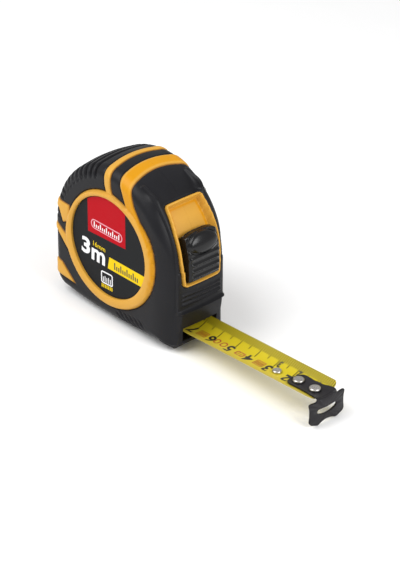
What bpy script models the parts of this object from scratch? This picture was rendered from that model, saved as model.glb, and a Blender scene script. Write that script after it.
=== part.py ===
"""Pocket tape measure, 3 m by 16 mm, drawn out by 67 mm and locked.

Every length below is in millimetres in the case's own frame: X runs forward along the blade,
Y across the case with the label side at -Y, Z up. Y is 0 on the parting plane, X is 0 under
the centre of the label and Z is 0 on the underside of the case. ORIGIN then moves the whole
object so that the middle of its box, at its lowest point, is the world origin.
"""

import math

import bmesh
import bpy

MM = 0.001
GAP = 0.3

# case, seen from the side
CASE_RADIUS = 33.5
CENTRE_HEIGHT = 31.1
TOE_RADIUS = 1.5
HEEL_RADIUS = 8.0
HEEL_RISE = 2.0
RISE_START = -8.0
PARTING = 0.15

# layers: (distance from the parting plane, inset from the outer outline, extra inset at the nose)
SKIN = ((PARTING, 0.0, 0.0), (10.5, 0.0, 0.2), (13.0, 1.0, 1.3), (14.7, 2.7, 3.6), (15.3, 4.8, 7.0))
CORE = ((PARTING, 1.6, 0.0), (9.0, 1.6, 0.3), (11.8, 2.6, 1.6), (13.2, 4.6, 4.2), (13.6, 6.6, 7.5))
HOLLOW = ((-1.0, 3.2, 0.0), (9.5, 3.4, 0.8), (12.0, 6.0, 5.0))
CORE_SINK = 0.6
HOLLOW_SINK = 1.4
WEB = 1.6

# raised ring round the label
RING_INNER = 20.76
RING_OUTER = 25.1
RING_CREST = 16.5
LABEL_FACE = 15.5
LABEL_THICKNESS = 0.4

# lock, on an arc about the centre of the label
FRAME_RADIUS = 35.3
FRAME_HALF_WIDTH = 10.3
FRAME_ANGLES = (-11.0, 45.5)
WINDOW_FLOOR = 32.0
WINDOW_HALF_WIDTH = 8.2
WINDOW_ANGLES = (-8.5, 43.5)
BUTTON_HALF_WIDTH = 7.8
SLOT_HALF_WIDTH = 2.6
SLOT_ANGLES = (-3.0, 23.5)
STEM_ANGLES = (0.5, 7.0)
ARM_RADII = (27.2, 29.2)
ARM_ANGLES = (-44.0, 12.0)

# blade
BLADE_EDGE = 5.2
BLADE_TROUGH = 2.35
BLADE_HALF_WIDTH = 7.9
BLADE_THICKNESS = 0.2
BLADE_START = 2.0
BLADE_END = 98.8
BLADE_CHAMFER = 2.6
MOUTH_HALF_WIDTH = 8.7
MOUTH_HEIGHTS = (1.72, 7.2)

# hook and rivets
HOOK_FACE = 100.0
HOOK_THICKNESS = 0.9
HOOK_FLOAT = 0.9
HOOK_FOOT = -7.4
STRAP_START = 83.6
STRAP_HALF_WIDTH = 4.2
STRAP_THICKNESS = 0.6
RIVET_SHANK = 1.2
HOOK_RIVETS = {"hook_rivet_rear": 85.9, "hook_rivet_front": 94.3}
STOP_RIVET_X = 74.7

# drum
DRUM_HEIGHT = 27.5
COIL_OUTER = 22.0
COIL_INNER = 16.7
FLANGE_RADIUS = 24.0
FLANGE_FACES = (8.25, 9.2)
HUB_OUTER = 16.4
HUB_INNER = 14.6
BORE = 4.4
ARBOR_RADIUS = 4.0
ARBOR_HALF_LENGTH = 11.6
SPRING_TURNS = 6
SPRING_THICKNESS = 0.25

# fasteners and belt clip
SCREW_SPOTS = ((19.6, 51.9), (-19.6, 51.9), (-25.0, 9.5))
BOSS_ENDS = (10.6, 10.6, 12.4)
SCREW_SHANK = 1.2
SCREW_HEAD = 2.3
SCREW_SEAT = 10.9
BOSS_RADIUS = 2.9
CLIP_HALF_WIDTH = 6.0
CLIP_THICKNESS = 0.8
CLIP_INNER_FACE = 15.8
CLIP_LEG_FACE = 21.6
CLIP_TOP = 48.0
CLIP_FOOT = 9.0
CLIP_FLARE = 1.2

CLIP_REACH = CLIP_LEG_FACE + CLIP_THICKNESS + CLIP_FLARE
ORIGIN = (
    (CASE_RADIUS - HOOK_FACE - HOOK_THICKNESS) / 2,
    (RING_CREST - CLIP_REACH) / 2,
    -HOOK_FOOT,
)

# stripes of the shell that show through the rubber, as corners in the side view
STRIPES = (
    (
        (-0.7, 53.0), (-2.1, 56.8), (-2.4, 60.8), (-2.9, 63.5), (-2.9, 70.0), (0.2, 70.0), (0.2, 64.4),
        (1.3, 56.4), (3.4, 51.5),
    ),
    (
        (10.4, 50.5), (7.6, 56.0), (5.8, 59.9), (5.0, 63.4), (5.0, 69.0), (10.6, 69.0), (10.7, 64.0),
        (11.9, 60.5), (17.3, 47.7),
    ),
    (
        (-23.0, 34.0), (-26.6, 32.1), (-28.6, 37.3), (-38.0, 38.6), (-38.0, 41.6), (-28.4, 41.0),
        (-21.0, 40.0),
    ),
    (
        (-21.5, 18.5), (-24.8, 22.2), (-29.6, 27.3), (-38.0, 28.2), (-38.0, 31.0), (-29.4, 30.3),
        (-22.5, 26.5),
    ),
    ((-20.1, 7.6), (-29.0, 8.6), (-38.0, 8.2), (-38.0, 15.0), (-29.6, 15.0), (-27.4, 14.4)),
)

FINISHES = {
    "orange_plastic": ((0.83, 0.42, 0.04, 1.0), 0.42, 0.0),
    "black_rubber": ((0.025, 0.025, 0.03, 1.0), 0.62, 0.0),
    "label_print": ((0.024, 0.026, 0.03, 1.0), 0.35, 0.0),
    "black_plastic": ((0.02, 0.02, 0.022, 1.0), 0.38, 0.0),
    "white_plastic": ((0.75, 0.75, 0.72, 1.0), 0.45, 0.0),
    "yellow_blade": ((0.62, 0.53, 0.05, 1.0), 0.35, 0.0),
    "spring_steel": ((0.32, 0.34, 0.38, 1.0), 0.3, 1.0),
    "black_steel": ((0.03, 0.028, 0.03, 1.0), 0.4, 0.6),
    "bright_steel": ((0.62, 0.61, 0.6, 1.0), 0.28, 1.0),
    "pad_rubber": ((0.12, 0.12, 0.12, 1.0), 0.8, 0.0),
}


def clear_scene():
    """Take away whatever the file holds, so that the script can run twice."""
    for item in list(bpy.data.objects):
        bpy.data.objects.remove(item, do_unlink=True)


def finish(name):
    """The material of that name, made on first use."""
    material = bpy.data.materials.get(name)
    if material:
        return material
    colour, roughness, metallic = FINISHES[name]
    material = bpy.data.materials.new(name)
    material.use_nodes = True
    shader = material.node_tree.nodes["Principled BSDF"]
    shader.inputs["Base Color"].default_value = colour
    shader.inputs["Roughness"].default_value = roughness
    shader.inputs["Metallic"].default_value = metallic
    material.diffuse_color = colour
    return material


def solid(name, points, faces, look, pivot=(0.0, 0.0, 0.0)):
    """An object from points in the case frame, with its origin on pivot."""
    mesh = bpy.data.meshes.new(name)
    local = [tuple((value - centre) * MM for value, centre in zip(point, pivot)) for point in points]
    mesh.from_pydata(local, [], faces)
    shape = bmesh.new()
    shape.from_mesh(mesh)
    bmesh.ops.recalc_face_normals(shape, faces=shape.faces)
    bmesh.ops.triangulate(shape, faces=[face for face in shape.faces if len(face.verts) > 3])
    shape.to_mesh(mesh)
    shape.free()
    mesh.shade_smooth()
    mesh.set_sharp_from_angle(angle=math.radians(30))
    mesh.materials.append(finish(look))
    item = bpy.data.objects.new(name, mesh)
    item.location = [(centre + shift) * MM for centre, shift in zip(pivot, ORIGIN)]
    bpy.context.scene.collection.objects.link(item)
    return item


def lofted(name, sections, look, pivot=(0.0, 0.0, 0.0)):
    """A closed solid through loops of equally many points, capped at both ends."""
    count = len(sections[0])
    points = [point for loop in sections for point in loop]
    faces = [tuple(range(count)), tuple(range(len(points) - count, len(points)))]
    for start in range(0, len(points) - count, count):
        for step in range(count):
            after = (step + 1) % count
            faces.append((start + step, start + after, start + count + after, start + count + step))
    return solid(name, points, faces, look, pivot)


def turned(name, profile, centre, look, segments=48):
    """A ring turned about an axis along Y, from a closed profile of (radius, y)."""
    count = len(profile)
    points = []
    for step in range(segments):
        angle = 2 * math.pi * step / segments
        for radius, y in profile:
            points.append((centre[0] + radius * math.cos(angle), y, centre[1] + radius * math.sin(angle)))
    faces = []
    for step in range(segments):
        here = step * count
        there = (step + 1) % segments * count
        for row in range(count):
            after = (row + 1) % count
            faces.append((here + row, here + after, there + after, there + row))
    return solid(name, points, faces, look, (centre[0], 0.0, centre[1]))


def stacked(name, profile, centre, look, segments=24):
    """A solid of discs along Y, from (radius, y) pairs, about the point (x, z)."""
    loops = []
    for radius, y in profile:
        turn = [2 * math.pi * (step + 0.15) / segments for step in range(segments)]
        loops.append(
            [(centre[0] + radius * math.cos(a), y, centre[1] + radius * math.sin(a)) for a in turn]
        )
    return lofted(name, loops, look, (centre[0], 0.0, centre[1]))


def upright(name, profile, spot, look, segments=20):
    """A solid of discs along Z, from (radius, z) pairs, on the blade's middle line at x."""
    loops = []
    for radius, z in profile:
        turn = [2 * math.pi * step / segments for step in range(segments)]
        loops.append([(spot + radius * math.cos(a), radius * math.sin(a), z) for a in turn])
    return lofted(name, loops, look, (spot, 0.0, 0.0))


def prism(name, outline, low, high, look, pivot=(0.0, 0.0, 0.0)):
    """A side-view outline of (x, z) points carried from y = low to y = high."""
    return lofted(name, [[(x, y, z) for x, z in outline] for y in (low, high)], look, pivot)


def cross_prism(name, outline, low, high, look, pivot=(0.0, 0.0, 0.0)):
    """A front-view outline of (y, z) points carried from x = low to x = high."""
    return lofted(name, [[(x, y, z) for y, z in outline] for x in (low, high)], look, pivot)


def combine(item, tool, operation):
    """Join, cut or intersect item with tool, which is then only a guide."""
    change = item.modifiers.new(tool.name, "BOOLEAN")
    change.operation = operation
    change.object = tool
    change.solver = "EXACT"
    tool.hide_render = True
    tool.display_type = "WIRE"


def arc(centre_x, centre_z, radius, start, end, steps):
    """Points on a circle from one angle to another, in degrees, both ends kept."""
    angles = [math.radians(start + (end - start) * step / steps) for step in range(steps + 1)]
    return [(centre_x + radius * math.cos(a), centre_z + radius * math.sin(a)) for a in angles]


def sector(inner, outer, angles, steps=8):
    """Outline of a piece of ring about the label's centre."""
    low, high = angles
    there = arc(0.0, CENTRE_HEIGHT, outer, low, high, steps)
    return there + arc(0.0, CENTRE_HEIGHT, inner, high, low, steps)


def grown(outline, distance):
    """The outline moved outwards by distance, each corner along its mitre."""
    area = sum(a[0] * b[1] - b[0] * a[1] for a, b in zip(outline, outline[1:] + outline[:1]))
    turn = 1.0 if area > 0 else -1.0
    result = []
    for index, (x, z) in enumerate(outline):
        before = outline[index - 1]
        after = outline[(index + 1) % len(outline)]
        normals = []
        for start, end in ((before, (x, z)), ((x, z), after)):
            length = math.hypot(end[0] - start[0], end[1] - start[1])
            normals.append((turn * (end[1] - start[1]) / length, -turn * (end[0] - start[0]) / length))
        mitre = (normals[0][0] + normals[1][0], normals[0][1] + normals[1][1])
        scale = distance / max(1.0 + normals[0][0] * normals[1][0] + normals[0][1] * normals[1][1], 0.4)
        result.append((x + mitre[0] * scale, z + mitre[1] * scale))
    return result


def case_outline(inset, nose_inset, sink=0.0):
    """Side outline of the case: round crown, upright nose and back, base that rises to the heel."""
    base = inset - sink
    crown = CASE_RADIUS - inset
    nose = crown - nose_inset
    meet = math.degrees(math.acos(nose / crown))
    toe = max(TOE_RADIUS - inset, 0.4)
    steep = HEEL_RISE / (HEEL_RADIUS - CASE_RADIUS - RISE_START) ** 2
    points = arc(nose - toe, base + toe, toe, -90, 0, 2)
    points.append((nose, CENTRE_HEIGHT / 2))
    points += arc(0.0, CENTRE_HEIGHT, crown, meet, 180, 24)
    points += arc(HEEL_RADIUS - CASE_RADIUS, HEEL_RADIUS + HEEL_RISE, HEEL_RADIUS - inset, 180, 270, 5)
    points += [(x, base + steep * (x - RISE_START) ** 2) for x in (-20.0, -14.0, RISE_START)]
    return points


def layer(name, sections, side, look, sink=0.0, grow=0.0):
    """One half of a layer of the case, on the side -1 (label) or +1 (clip), grown by grow."""
    loops = []
    for depth, inset, nose_inset in sections:
        across = side * (depth + (grow if depth > 1.0 else -2.0 * grow))
        outline = case_outline(inset - grow, nose_inset, sink)
        loops.append([(x, across, z) for x, z in outline])
    return lofted(name, loops, look)


def stripe_guides(name, side, grow, near):
    """The stripes as guides through half of the case, starting at distance near from the middle."""
    return [
        prism(f"{name}_{number}", grown(list(outline), grow), side * near, side * 20.0, "orange_plastic")
        for number, outline in enumerate(STRIPES)
    ]


def ring_profile(side):
    """Discs of the raised ring, with the flat recess for the label inside it."""
    steps = (
        (RING_OUTER, 11.0),
        (RING_OUTER, 15.2),
        (RING_OUTER - 0.8, 16.1),
        (RING_OUTER - 1.9, RING_CREST),
        (RING_INNER + 0.4, RING_CREST),
        (RING_INNER, RING_CREST - 0.3),
        (RING_INNER, LABEL_FACE - LABEL_THICKNESS - GAP),
    )
    return [(radius, side * y) for radius, y in steps]


def make_shell(name, side):
    """Half of the orange case: wall, ring, lock frame, bosses, window, slot and mouth."""
    shell = layer(name, CORE, side, "orange_plastic", CORE_SINK)
    for guide in stripe_guides(f"{name}_stripe", side, 0.0, WEB + GAP):
        inner = layer(f"{guide.name}_skin", SKIN, side, "orange_plastic")
        combine(inner, guide, "INTERSECT")
        combine(shell, inner, "UNION")
    ring = stacked(f"{name}_ring", ring_profile(side), (0.0, CENTRE_HEIGHT), "orange_plastic", 48)
    combine(shell, ring, "UNION")
    frame = prism(
        f"{name}_frame",
        sector(28.6, FRAME_RADIUS, FRAME_ANGLES, 10),
        side * (PARTING + 0.1),
        side * FRAME_HALF_WIDTH,
        "orange_plastic",
    )
    combine(shell, frame, "UNION")
    combine(shell, layer(f"{name}_hollow", HOLLOW, side, "orange_plastic", HOLLOW_SINK), "DIFFERENCE")
    for number, spot in enumerate(SCREW_SPOTS):
        ends = [(BOSS_RADIUS, side * (PARTING + 0.2)), (BOSS_RADIUS, side * BOSS_ENDS[number])]
        boss = stacked(f"{name}_boss_{number}", ends, spot, "orange_plastic")
        combine(shell, boss, "UNION")
        hole = stacked(
            f"{name}_hole_{number}",
            [(SCREW_SHANK + GAP, -10.2), (SCREW_SHANK + GAP, 19.0)],
            spot,
            "orange_plastic",
            16,
        )
        combine(shell, hole, "DIFFERENCE")
        if side > 0:
            seat = stacked(
                f"{name}_seat_{number}",
                [(SCREW_HEAD + GAP, SCREW_SEAT), (SCREW_HEAD + GAP, 19.0)],
                spot,
                "orange_plastic",
            )
            combine(shell, seat, "DIFFERENCE")
    cut_front(shell, 0.0)
    slot = prism(
        f"{name}_slot", sector(28.0, 34.0, SLOT_ANGLES), -SLOT_HALF_WIDTH, SLOT_HALF_WIDTH, "orange_plastic"
    )
    combine(shell, slot, "DIFFERENCE")
    if side > 0:
        bore = stacked(f"{name}_bore", [(1.6, 11.0), (1.6, 19.0)], (0.0, DRUM_HEIGHT), "orange_plastic", 16)
        combine(shell, bore, "DIFFERENCE")
    return shell


def cut_front(item, grow):
    """Cut the lock's window and the blade's mouth out of a shell or a grip."""
    if grow:
        window = prism(
            f"{item.name}_window",
            sector(28.0, 40.0, (FRAME_ANGLES[0] - 0.5, FRAME_ANGLES[1] + 0.5)),
            -FRAME_HALF_WIDTH - grow,
            FRAME_HALF_WIDTH + grow,
            "orange_plastic",
        )
    else:
        window = prism(
            f"{item.name}_window",
            sector(WINDOW_FLOOR, 40.0, WINDOW_ANGLES),
            -WINDOW_HALF_WIDTH,
            WINDOW_HALF_WIDTH,
            "orange_plastic",
        )
    combine(item, window, "DIFFERENCE")
    low, high = MOUTH_HEIGHTS
    wide = MOUTH_HALF_WIDTH
    mouth = cross_prism(
        f"{item.name}_mouth",
        [(-wide, low), (wide, low), (wide, high), (-wide, high)],
        26.0,
        40.0,
        "orange_plastic",
    )
    combine(item, mouth, "DIFFERENCE")


def make_grip(name, side):
    """Half of the rubber skin, with the ring, stripes, lock frame and mouth left open."""
    grip = layer(name, SKIN, side, "black_rubber")
    combine(grip, layer(f"{name}_core", CORE, side, "black_rubber", CORE_SINK, GAP), "DIFFERENCE")
    for guide in stripe_guides(f"{name}_stripe", side, GAP, WEB):
        combine(grip, guide, "DIFFERENCE")
    ring = [(RING_OUTER + GAP, side * 9.0), (RING_OUTER + GAP, side * 20.0)]
    combine(grip, stacked(f"{name}_ring", ring, (0.0, CENTRE_HEIGHT), "black_rubber", 48), "DIFFERENCE")
    cut_front(grip, GAP)
    if side > 0:
        for number, spot in enumerate(SCREW_SPOTS):
            hole = [(SCREW_HEAD + 2 * GAP, 9.0), (SCREW_HEAD + 2 * GAP, 20.0)]
            combine(grip, stacked(f"{name}_hole_{number}", hole, spot, "black_rubber", 20), "DIFFERENCE")
    return grip


def make_label(name, side):
    """The printed disc in the ring's recess."""
    faces = [side * (LABEL_FACE - LABEL_THICKNESS), side * LABEL_FACE]
    label = stacked(name, [(RING_INNER - GAP, y) for y in faces], (0.0, CENTRE_HEIGHT), "label_print", 48)
    if side > 0:
        bore = stacked(f"{name}_bore", [(1.6, 14.0), (1.6, 17.0)], (0.0, DRUM_HEIGHT), "label_print", 16)
        combine(label, bore, "DIFFERENCE")
    return label


def make_arbor():
    """The fixed axle that the drum turns on, slotted for the inner end of the power spring."""
    ends = [(ARBOR_RADIUS, -ARBOR_HALF_LENGTH), (ARBOR_RADIUS, ARBOR_HALF_LENGTH)]
    arbor = stacked("spool_arbor", ends, (0.0, DRUM_HEIGHT), "white_plastic", 32)
    slot = prism(
        "arbor_slot",
        [
            (0.0, DRUM_HEIGHT - 0.4), (9.0, DRUM_HEIGHT - 0.4), (9.0, DRUM_HEIGHT + 0.4),
            (0.0, DRUM_HEIGHT + 0.4),
        ],
        -7.6,
        7.6,
        "white_plastic",
    )
    combine(arbor, slot, "DIFFERENCE")
    bore = stacked("arbor_bore", [(1.6, 3.0), (1.6, 14.0)], (0.0, DRUM_HEIGHT), "white_plastic", 16)
    combine(arbor, bore, "DIFFERENCE")
    return arbor


def make_drum():
    """The drum with its fixed flange, and the pressed-on cover that is its other flange."""
    inner, outer = FLANGE_FACES
    hub = [
        (BORE, inner),
        (HUB_INNER, inner),
        (HUB_INNER, -inner + GAP),
        (HUB_OUTER, -inner + GAP),
        (HUB_OUTER, inner),
        (FLANGE_RADIUS, inner),
        (FLANGE_RADIUS, outer),
        (BORE, outer),
    ]
    turned("drum", hub, (0.0, DRUM_HEIGHT), "white_plastic", 36)
    cover = turned(
        "drum_cover",
        [(BORE, -outer), (FLANGE_RADIUS, -outer), (FLANGE_RADIUS, -inner), (BORE, -inner)],
        (0.0, DRUM_HEIGHT),
        "white_plastic",
        36,
    )
    for number in range(3):
        spot = arc(0.0, DRUM_HEIGHT, 9.5, 97 + 120 * number, 97 + 120 * number, 1)[0]
        window = stacked(f"cover_window_{number}", [(2.6, -12.0), (2.6, -6.0)], spot, "white_plastic", 14)
        combine(cover, window, "DIFFERENCE")


def make_coil():
    """The wound part of the blade, as one ring on the drum."""
    half = BLADE_HALF_WIDTH - 0.05
    profile = [(COIL_INNER, -half), (COIL_OUTER, -half), (COIL_OUTER, half), (COIL_INNER, half)]
    turned("blade_coil", profile, (0.0, DRUM_HEIGHT), "yellow_blade", 48)


def make_power_spring():
    """The flat spiral spring between arbor and drum."""
    start = ARBOR_RADIUS + GAP + 0.1
    end = HUB_INNER - GAP - SPRING_THICKNESS
    steps = SPRING_TURNS * 16
    outer = []
    inner = []
    for step in range(steps + 1):
        angle = 2 * math.pi * SPRING_TURNS * step / steps
        radius = start + (end - start) * step / steps
        for line, extra in ((inner, 0.0), (outer, SPRING_THICKNESS)):
            line.append(
                ((radius + extra) * math.cos(angle), DRUM_HEIGHT + (radius + extra) * math.sin(angle))
            )
    loops = [
        [(a[0], -7.4, a[1]), (b[0], -7.4, b[1]), (b[0], 7.4, b[1]), (a[0], 7.4, a[1])]
        for a, b in zip(inner, outer)
    ]
    lofted("power_spring", loops, "spring_steel", (0.0, 0.0, DRUM_HEIGHT))


def trough(y):
    """Height of the blade's upper face at distance y from its middle line."""
    return BLADE_TROUGH + (BLADE_EDGE - BLADE_TROUGH) * (y / BLADE_HALF_WIDTH) ** 2


def dished(half_width, lift, thickness, steps):
    """Front-view outline of a strip that follows the blade's trough."""
    across = [half_width * (2 * step / steps - 1) for step in range(steps + 1)]
    upper = [(y, trough(y) + lift + thickness) for y in across]
    return upper + [(y, trough(y) + lift) for y in reversed(across)]


def rivet_hole(item, spot, radius, stretch=0.0):
    """Cut a round or stretched hole for a rivet at x = spot."""
    ends = ((spot, 90, 270), (spot + stretch, -90, 90))
    outline = [point for x, start, end in ends for point in arc(x, 0.0, radius, start, end, 8)]
    loops = [[(x, y, z) for x, y in outline] for z in (-2.0, 8.0)]
    combine(item, lofted(f"{item.name}_hole_{spot:.0f}", loops, "black_steel"), "DIFFERENCE")


def make_blade():
    """The straight run of the blade, from the coil out to its chamfered end."""
    stations = (
        (BLADE_START, 0.0),
        (BLADE_END - BLADE_CHAMFER, 0.0),
        (BLADE_END - 0.8, 1.2),
        (BLADE_END, BLADE_CHAMFER),
    )
    loops = []
    for x, narrow in stations:
        outline = dished(BLADE_HALF_WIDTH - narrow, -BLADE_THICKNESS, BLADE_THICKNESS, 10)
        loops.append([(x, y, z) for y, z in outline])
    blade = lofted("blade", loops, "yellow_blade")
    for spot in (*HOOK_RIVETS.values(), STOP_RIVET_X):
        rivet_hole(blade, spot, RIVET_SHANK + GAP)
    return blade


def hook_outline():
    """Front-view outline of the hook's plate: two ears, two feet, a hollow between the feet."""
    half = [
        (4.4, trough(STRAP_HALF_WIDTH) + 0.7),
        (4.9, 2.6),
        (8.4, 2.9),
        (9.0, 2.2),
        (9.1, -3.6),
        (8.2, -5.9),
        (4.6, HOOK_FOOT),
        (2.2, -6.5),
    ]
    tab = [(y, trough(y) + 0.2 + STRAP_THICKNESS) for y in (3.2, 1.6, 0.0)]
    right = tab[::-1] + half + [(0.0, -6.2)]
    return right + [(-y, z) for y, z in reversed(right[1:-1])]


def make_hook():
    """The end hook: strap on the blade, bend and slotted plate."""
    hook = cross_prism("hook", hook_outline(), HOOK_FACE, HOOK_FACE + HOOK_THICKNESS, "black_steel")
    sections = (
        (STRAP_START, 3.0), (STRAP_START + 0.6, 3.9), (STRAP_START + 1.8, 4.2), (HOOK_FACE + 0.5, 4.2)
    )
    loops = [[(x, y, z) for y, z in dished(half, 0.25, STRAP_THICKNESS, 8)] for x, half in sections]
    combine(hook, lofted("hook_strap", loops, "black_steel"), "UNION")
    slot = arc(4.0, -1.9, 0.95, -80, 80, 4) + [(0.0, -1.4)]
    slot += arc(-4.0, -1.9, 0.95, 100, 260, 4) + [(0.0, -3.3)]
    combine(hook, cross_prism("hook_window", slot, 95.0, 105.0, "black_steel"), "DIFFERENCE")
    for spot in HOOK_RIVETS.values():
        rivet_hole(hook, spot, RIVET_SHANK + GAP, HOOK_FLOAT)
    return hook


def make_rivet(name, spot, seat, head):
    """A domed rivet flush with the blade's underside."""
    foot = BLADE_TROUGH - BLADE_THICKNESS
    profile = [
        (RIVET_SHANK, foot),
        (RIVET_SHANK, seat),
        (head, seat),
        (head, seat + 0.25),
        (head * 0.82, seat + 0.6),
        (head * 0.4, seat + 0.8),
    ]
    return upright(name, profile, spot, "bright_steel")


def make_rivets():
    """Two rivets that guide the hook, and one that stiffens the blade behind it."""
    strap_top = BLADE_TROUGH + 0.25 + STRAP_THICKNESS
    for name, spot in HOOK_RIVETS.items():
        make_rivet(name, spot, strap_top + 0.45, 2.0)
    make_rivet("stop_rivet", STOP_RIVET_X, BLADE_TROUGH + GAP, 1.65)


def make_button():
    """The thumb button: a scooped pad above a lip, with a ribbed skirt below."""
    face = (
        (25.0, 34.3),
        (23.8, 35.7),
        (21.5, 36.3),
        (17.0, 35.6),
        (12.5, 35.9),
        (10.6, 36.8),
        (9.2, 36.6),
        (8.4, 35.5),
        (3.4, 35.3),
        (2.9, 35.7),
        (1.9, 35.7),
        (1.4, 35.2),
        (-0.6, 35.2),
        (-1.1, 35.6),
        (-2.1, 35.6),
        (-2.6, 35.1),
        (-7.2, 34.6),
    )
    outer = [arc(0.0, CENTRE_HEIGHT, radius, angle, angle, 1)[0] for angle, radius in face]
    inner = arc(0.0, CENTRE_HEIGHT, WINDOW_FLOOR + GAP, -7.2, 25.0, 6)
    pivot = (0.0, 0.0, CENTRE_HEIGHT)
    return prism(
        "lock_button", outer + inner, -BUTTON_HALF_WIDTH, BUTTON_HALF_WIDTH, "black_plastic", pivot
    )


def make_slider():
    """The curved arm behind the front wall, its stem through the slot and its foot over the blade."""
    pivot = (0.0, 0.0, CENTRE_HEIGHT)
    slider = prism("lock_slider", sector(*ARM_RADII, ARM_ANGLES, 10), -5.0, 5.0, "black_plastic", pivot)
    stem = prism("slider_stem", sector(28.6, WINDOW_FLOOR, STEM_ANGLES, 2), -2.2, 2.2, "black_plastic")
    combine(slider, stem, "UNION")
    foot = prism(
        "slider_foot", [(16.5, 9.9), (22.6, 9.9), (22.6, 12.2), (16.5, 12.2)], -6.5, 6.5, "black_plastic"
    )
    combine(slider, foot, "UNION")
    return slider


def make_brake_pad():
    """The pad under the slider's foot that presses on the blade's edges."""
    top = 9.9 - GAP
    low = BLADE_EDGE + GAP
    outline = [(16.5, top), (16.5, low + 1.0), (17.5, low), (21.6, low), (22.6, low + 1.0), (22.6, top)]
    return prism("brake_pad", outline, -7.4, 7.4, "pad_rubber", (0.0, 0.0, CENTRE_HEIGHT))


def make_case_screws():
    """Three screws from the clip side that hold the shells together."""
    for number, spot in enumerate(SCREW_SPOTS, start=1):
        seat = SCREW_SEAT + GAP
        profile = [
            (SCREW_SHANK, -9.0), (SCREW_SHANK, seat), (SCREW_HEAD, seat), (SCREW_HEAD, seat + 1.2),
            (1.6, seat + 1.8),
        ]
        screw = stacked(f"case_screw_{number}", profile, spot, "bright_steel")
        for turn, (wide, tall) in enumerate(((1.5, 0.3), (0.3, 1.5))):
            x, z = spot
            cross = [(x - wide, z - tall), (x + wide, z - tall), (x + wide, z + tall), (x - wide, z + tall)]
            guide = prism(f"screw_cross_{number}_{turn}", cross, seat + 0.9, seat + 3.0, "bright_steel")
            combine(screw, guide, "DIFFERENCE")


def make_belt_clip():
    """The spring clip: a leg screwed to the case, a bend at the top and a hanging leg."""
    inner = CLIP_INNER_FACE
    outer = CLIP_LEG_FACE + CLIP_THICKNESS
    middle = (inner + outer) / 2
    reach = (outer - inner) / 2
    outline = [(inner, 22.0)]
    outline += arc(middle, CLIP_TOP, reach, 180, 0, 8)
    outline += [(outer, CLIP_FOOT + 4.0), (outer + CLIP_FLARE, CLIP_FOOT)]
    outline += [(outer + CLIP_FLARE - CLIP_THICKNESS, CLIP_FOOT), (outer - CLIP_THICKNESS, CLIP_FOOT + 4.0)]
    outline += arc(middle, CLIP_TOP, reach - CLIP_THICKNESS, 0, 180, 8)
    outline.append((inner + CLIP_THICKNESS, 22.0))
    clip = cross_prism("belt_clip", outline, -CLIP_HALF_WIDTH, CLIP_HALF_WIDTH, "spring_steel")
    hole = stacked(
        "clip_hole", [(1.6, inner - 1.0), (1.6, inner + 2.0)], (0.0, DRUM_HEIGHT), "spring_steel", 16
    )
    combine(clip, hole, "DIFFERENCE")
    seat = inner + CLIP_THICKNESS + GAP
    head = [(1.25, 4.0), (1.25, seat), (3.2, seat), (3.2, seat + 0.7), (2.4, seat + 1.4)]
    stacked("clip_screw", head, (0.0, DRUM_HEIGHT), "bright_steel")


def main():
    """Build the tape measure piece by piece."""
    clear_scene()
    make_shell("left_shell", -1)
    make_shell("right_shell", 1)
    make_grip("left_grip", -1)
    make_grip("right_grip", 1)
    make_label("left_label", -1)
    make_label("right_label", 1)
    make_arbor()
    make_drum()
    make_coil()
    make_power_spring()
    make_blade()
    make_hook()
    make_rivets()
    make_button()
    make_slider()
    make_brake_pad()
    make_case_screws()
    make_belt_clip()


main()
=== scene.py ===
"""Surfaces and finishes of a pocket tape measure with a dished 16 mm blade.

Lengths are in millimetres in the case's own frame: X forward along the blade, Y across the case
with the label side at -Y and 0 on the parting plane, Z up from the underside of the case.
to_row turns them into metres in the row frame. Angles are about the centre of the label, seen
from the label side, with 0 straight ahead and 90 at the top.
"""

import logging
import math
from dataclasses import dataclass
from enum import Enum

import bmesh
import bpy
import numpy as np
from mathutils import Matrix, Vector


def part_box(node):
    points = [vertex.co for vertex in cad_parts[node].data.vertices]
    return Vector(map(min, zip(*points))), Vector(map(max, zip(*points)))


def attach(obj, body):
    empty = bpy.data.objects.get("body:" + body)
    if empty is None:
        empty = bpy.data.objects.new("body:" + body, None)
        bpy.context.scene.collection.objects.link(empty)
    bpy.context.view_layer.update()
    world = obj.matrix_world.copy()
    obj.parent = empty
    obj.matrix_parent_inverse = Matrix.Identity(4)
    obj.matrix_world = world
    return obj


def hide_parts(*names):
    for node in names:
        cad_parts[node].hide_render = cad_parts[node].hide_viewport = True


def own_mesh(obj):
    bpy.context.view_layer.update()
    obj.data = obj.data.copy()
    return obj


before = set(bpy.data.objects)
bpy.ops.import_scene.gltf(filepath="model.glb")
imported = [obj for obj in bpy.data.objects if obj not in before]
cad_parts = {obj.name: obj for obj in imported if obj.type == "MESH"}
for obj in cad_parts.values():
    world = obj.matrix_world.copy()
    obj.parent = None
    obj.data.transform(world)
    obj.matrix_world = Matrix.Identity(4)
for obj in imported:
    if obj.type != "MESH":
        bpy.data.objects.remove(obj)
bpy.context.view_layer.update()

LOG = logging.getLogger("tape_measure")
Array = np.ndarray
Socket = bpy.types.NodeSocket
Shape = tuple[np.ndarray, list]  # points (n, 3) and faces, as lists of point numbers

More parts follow.
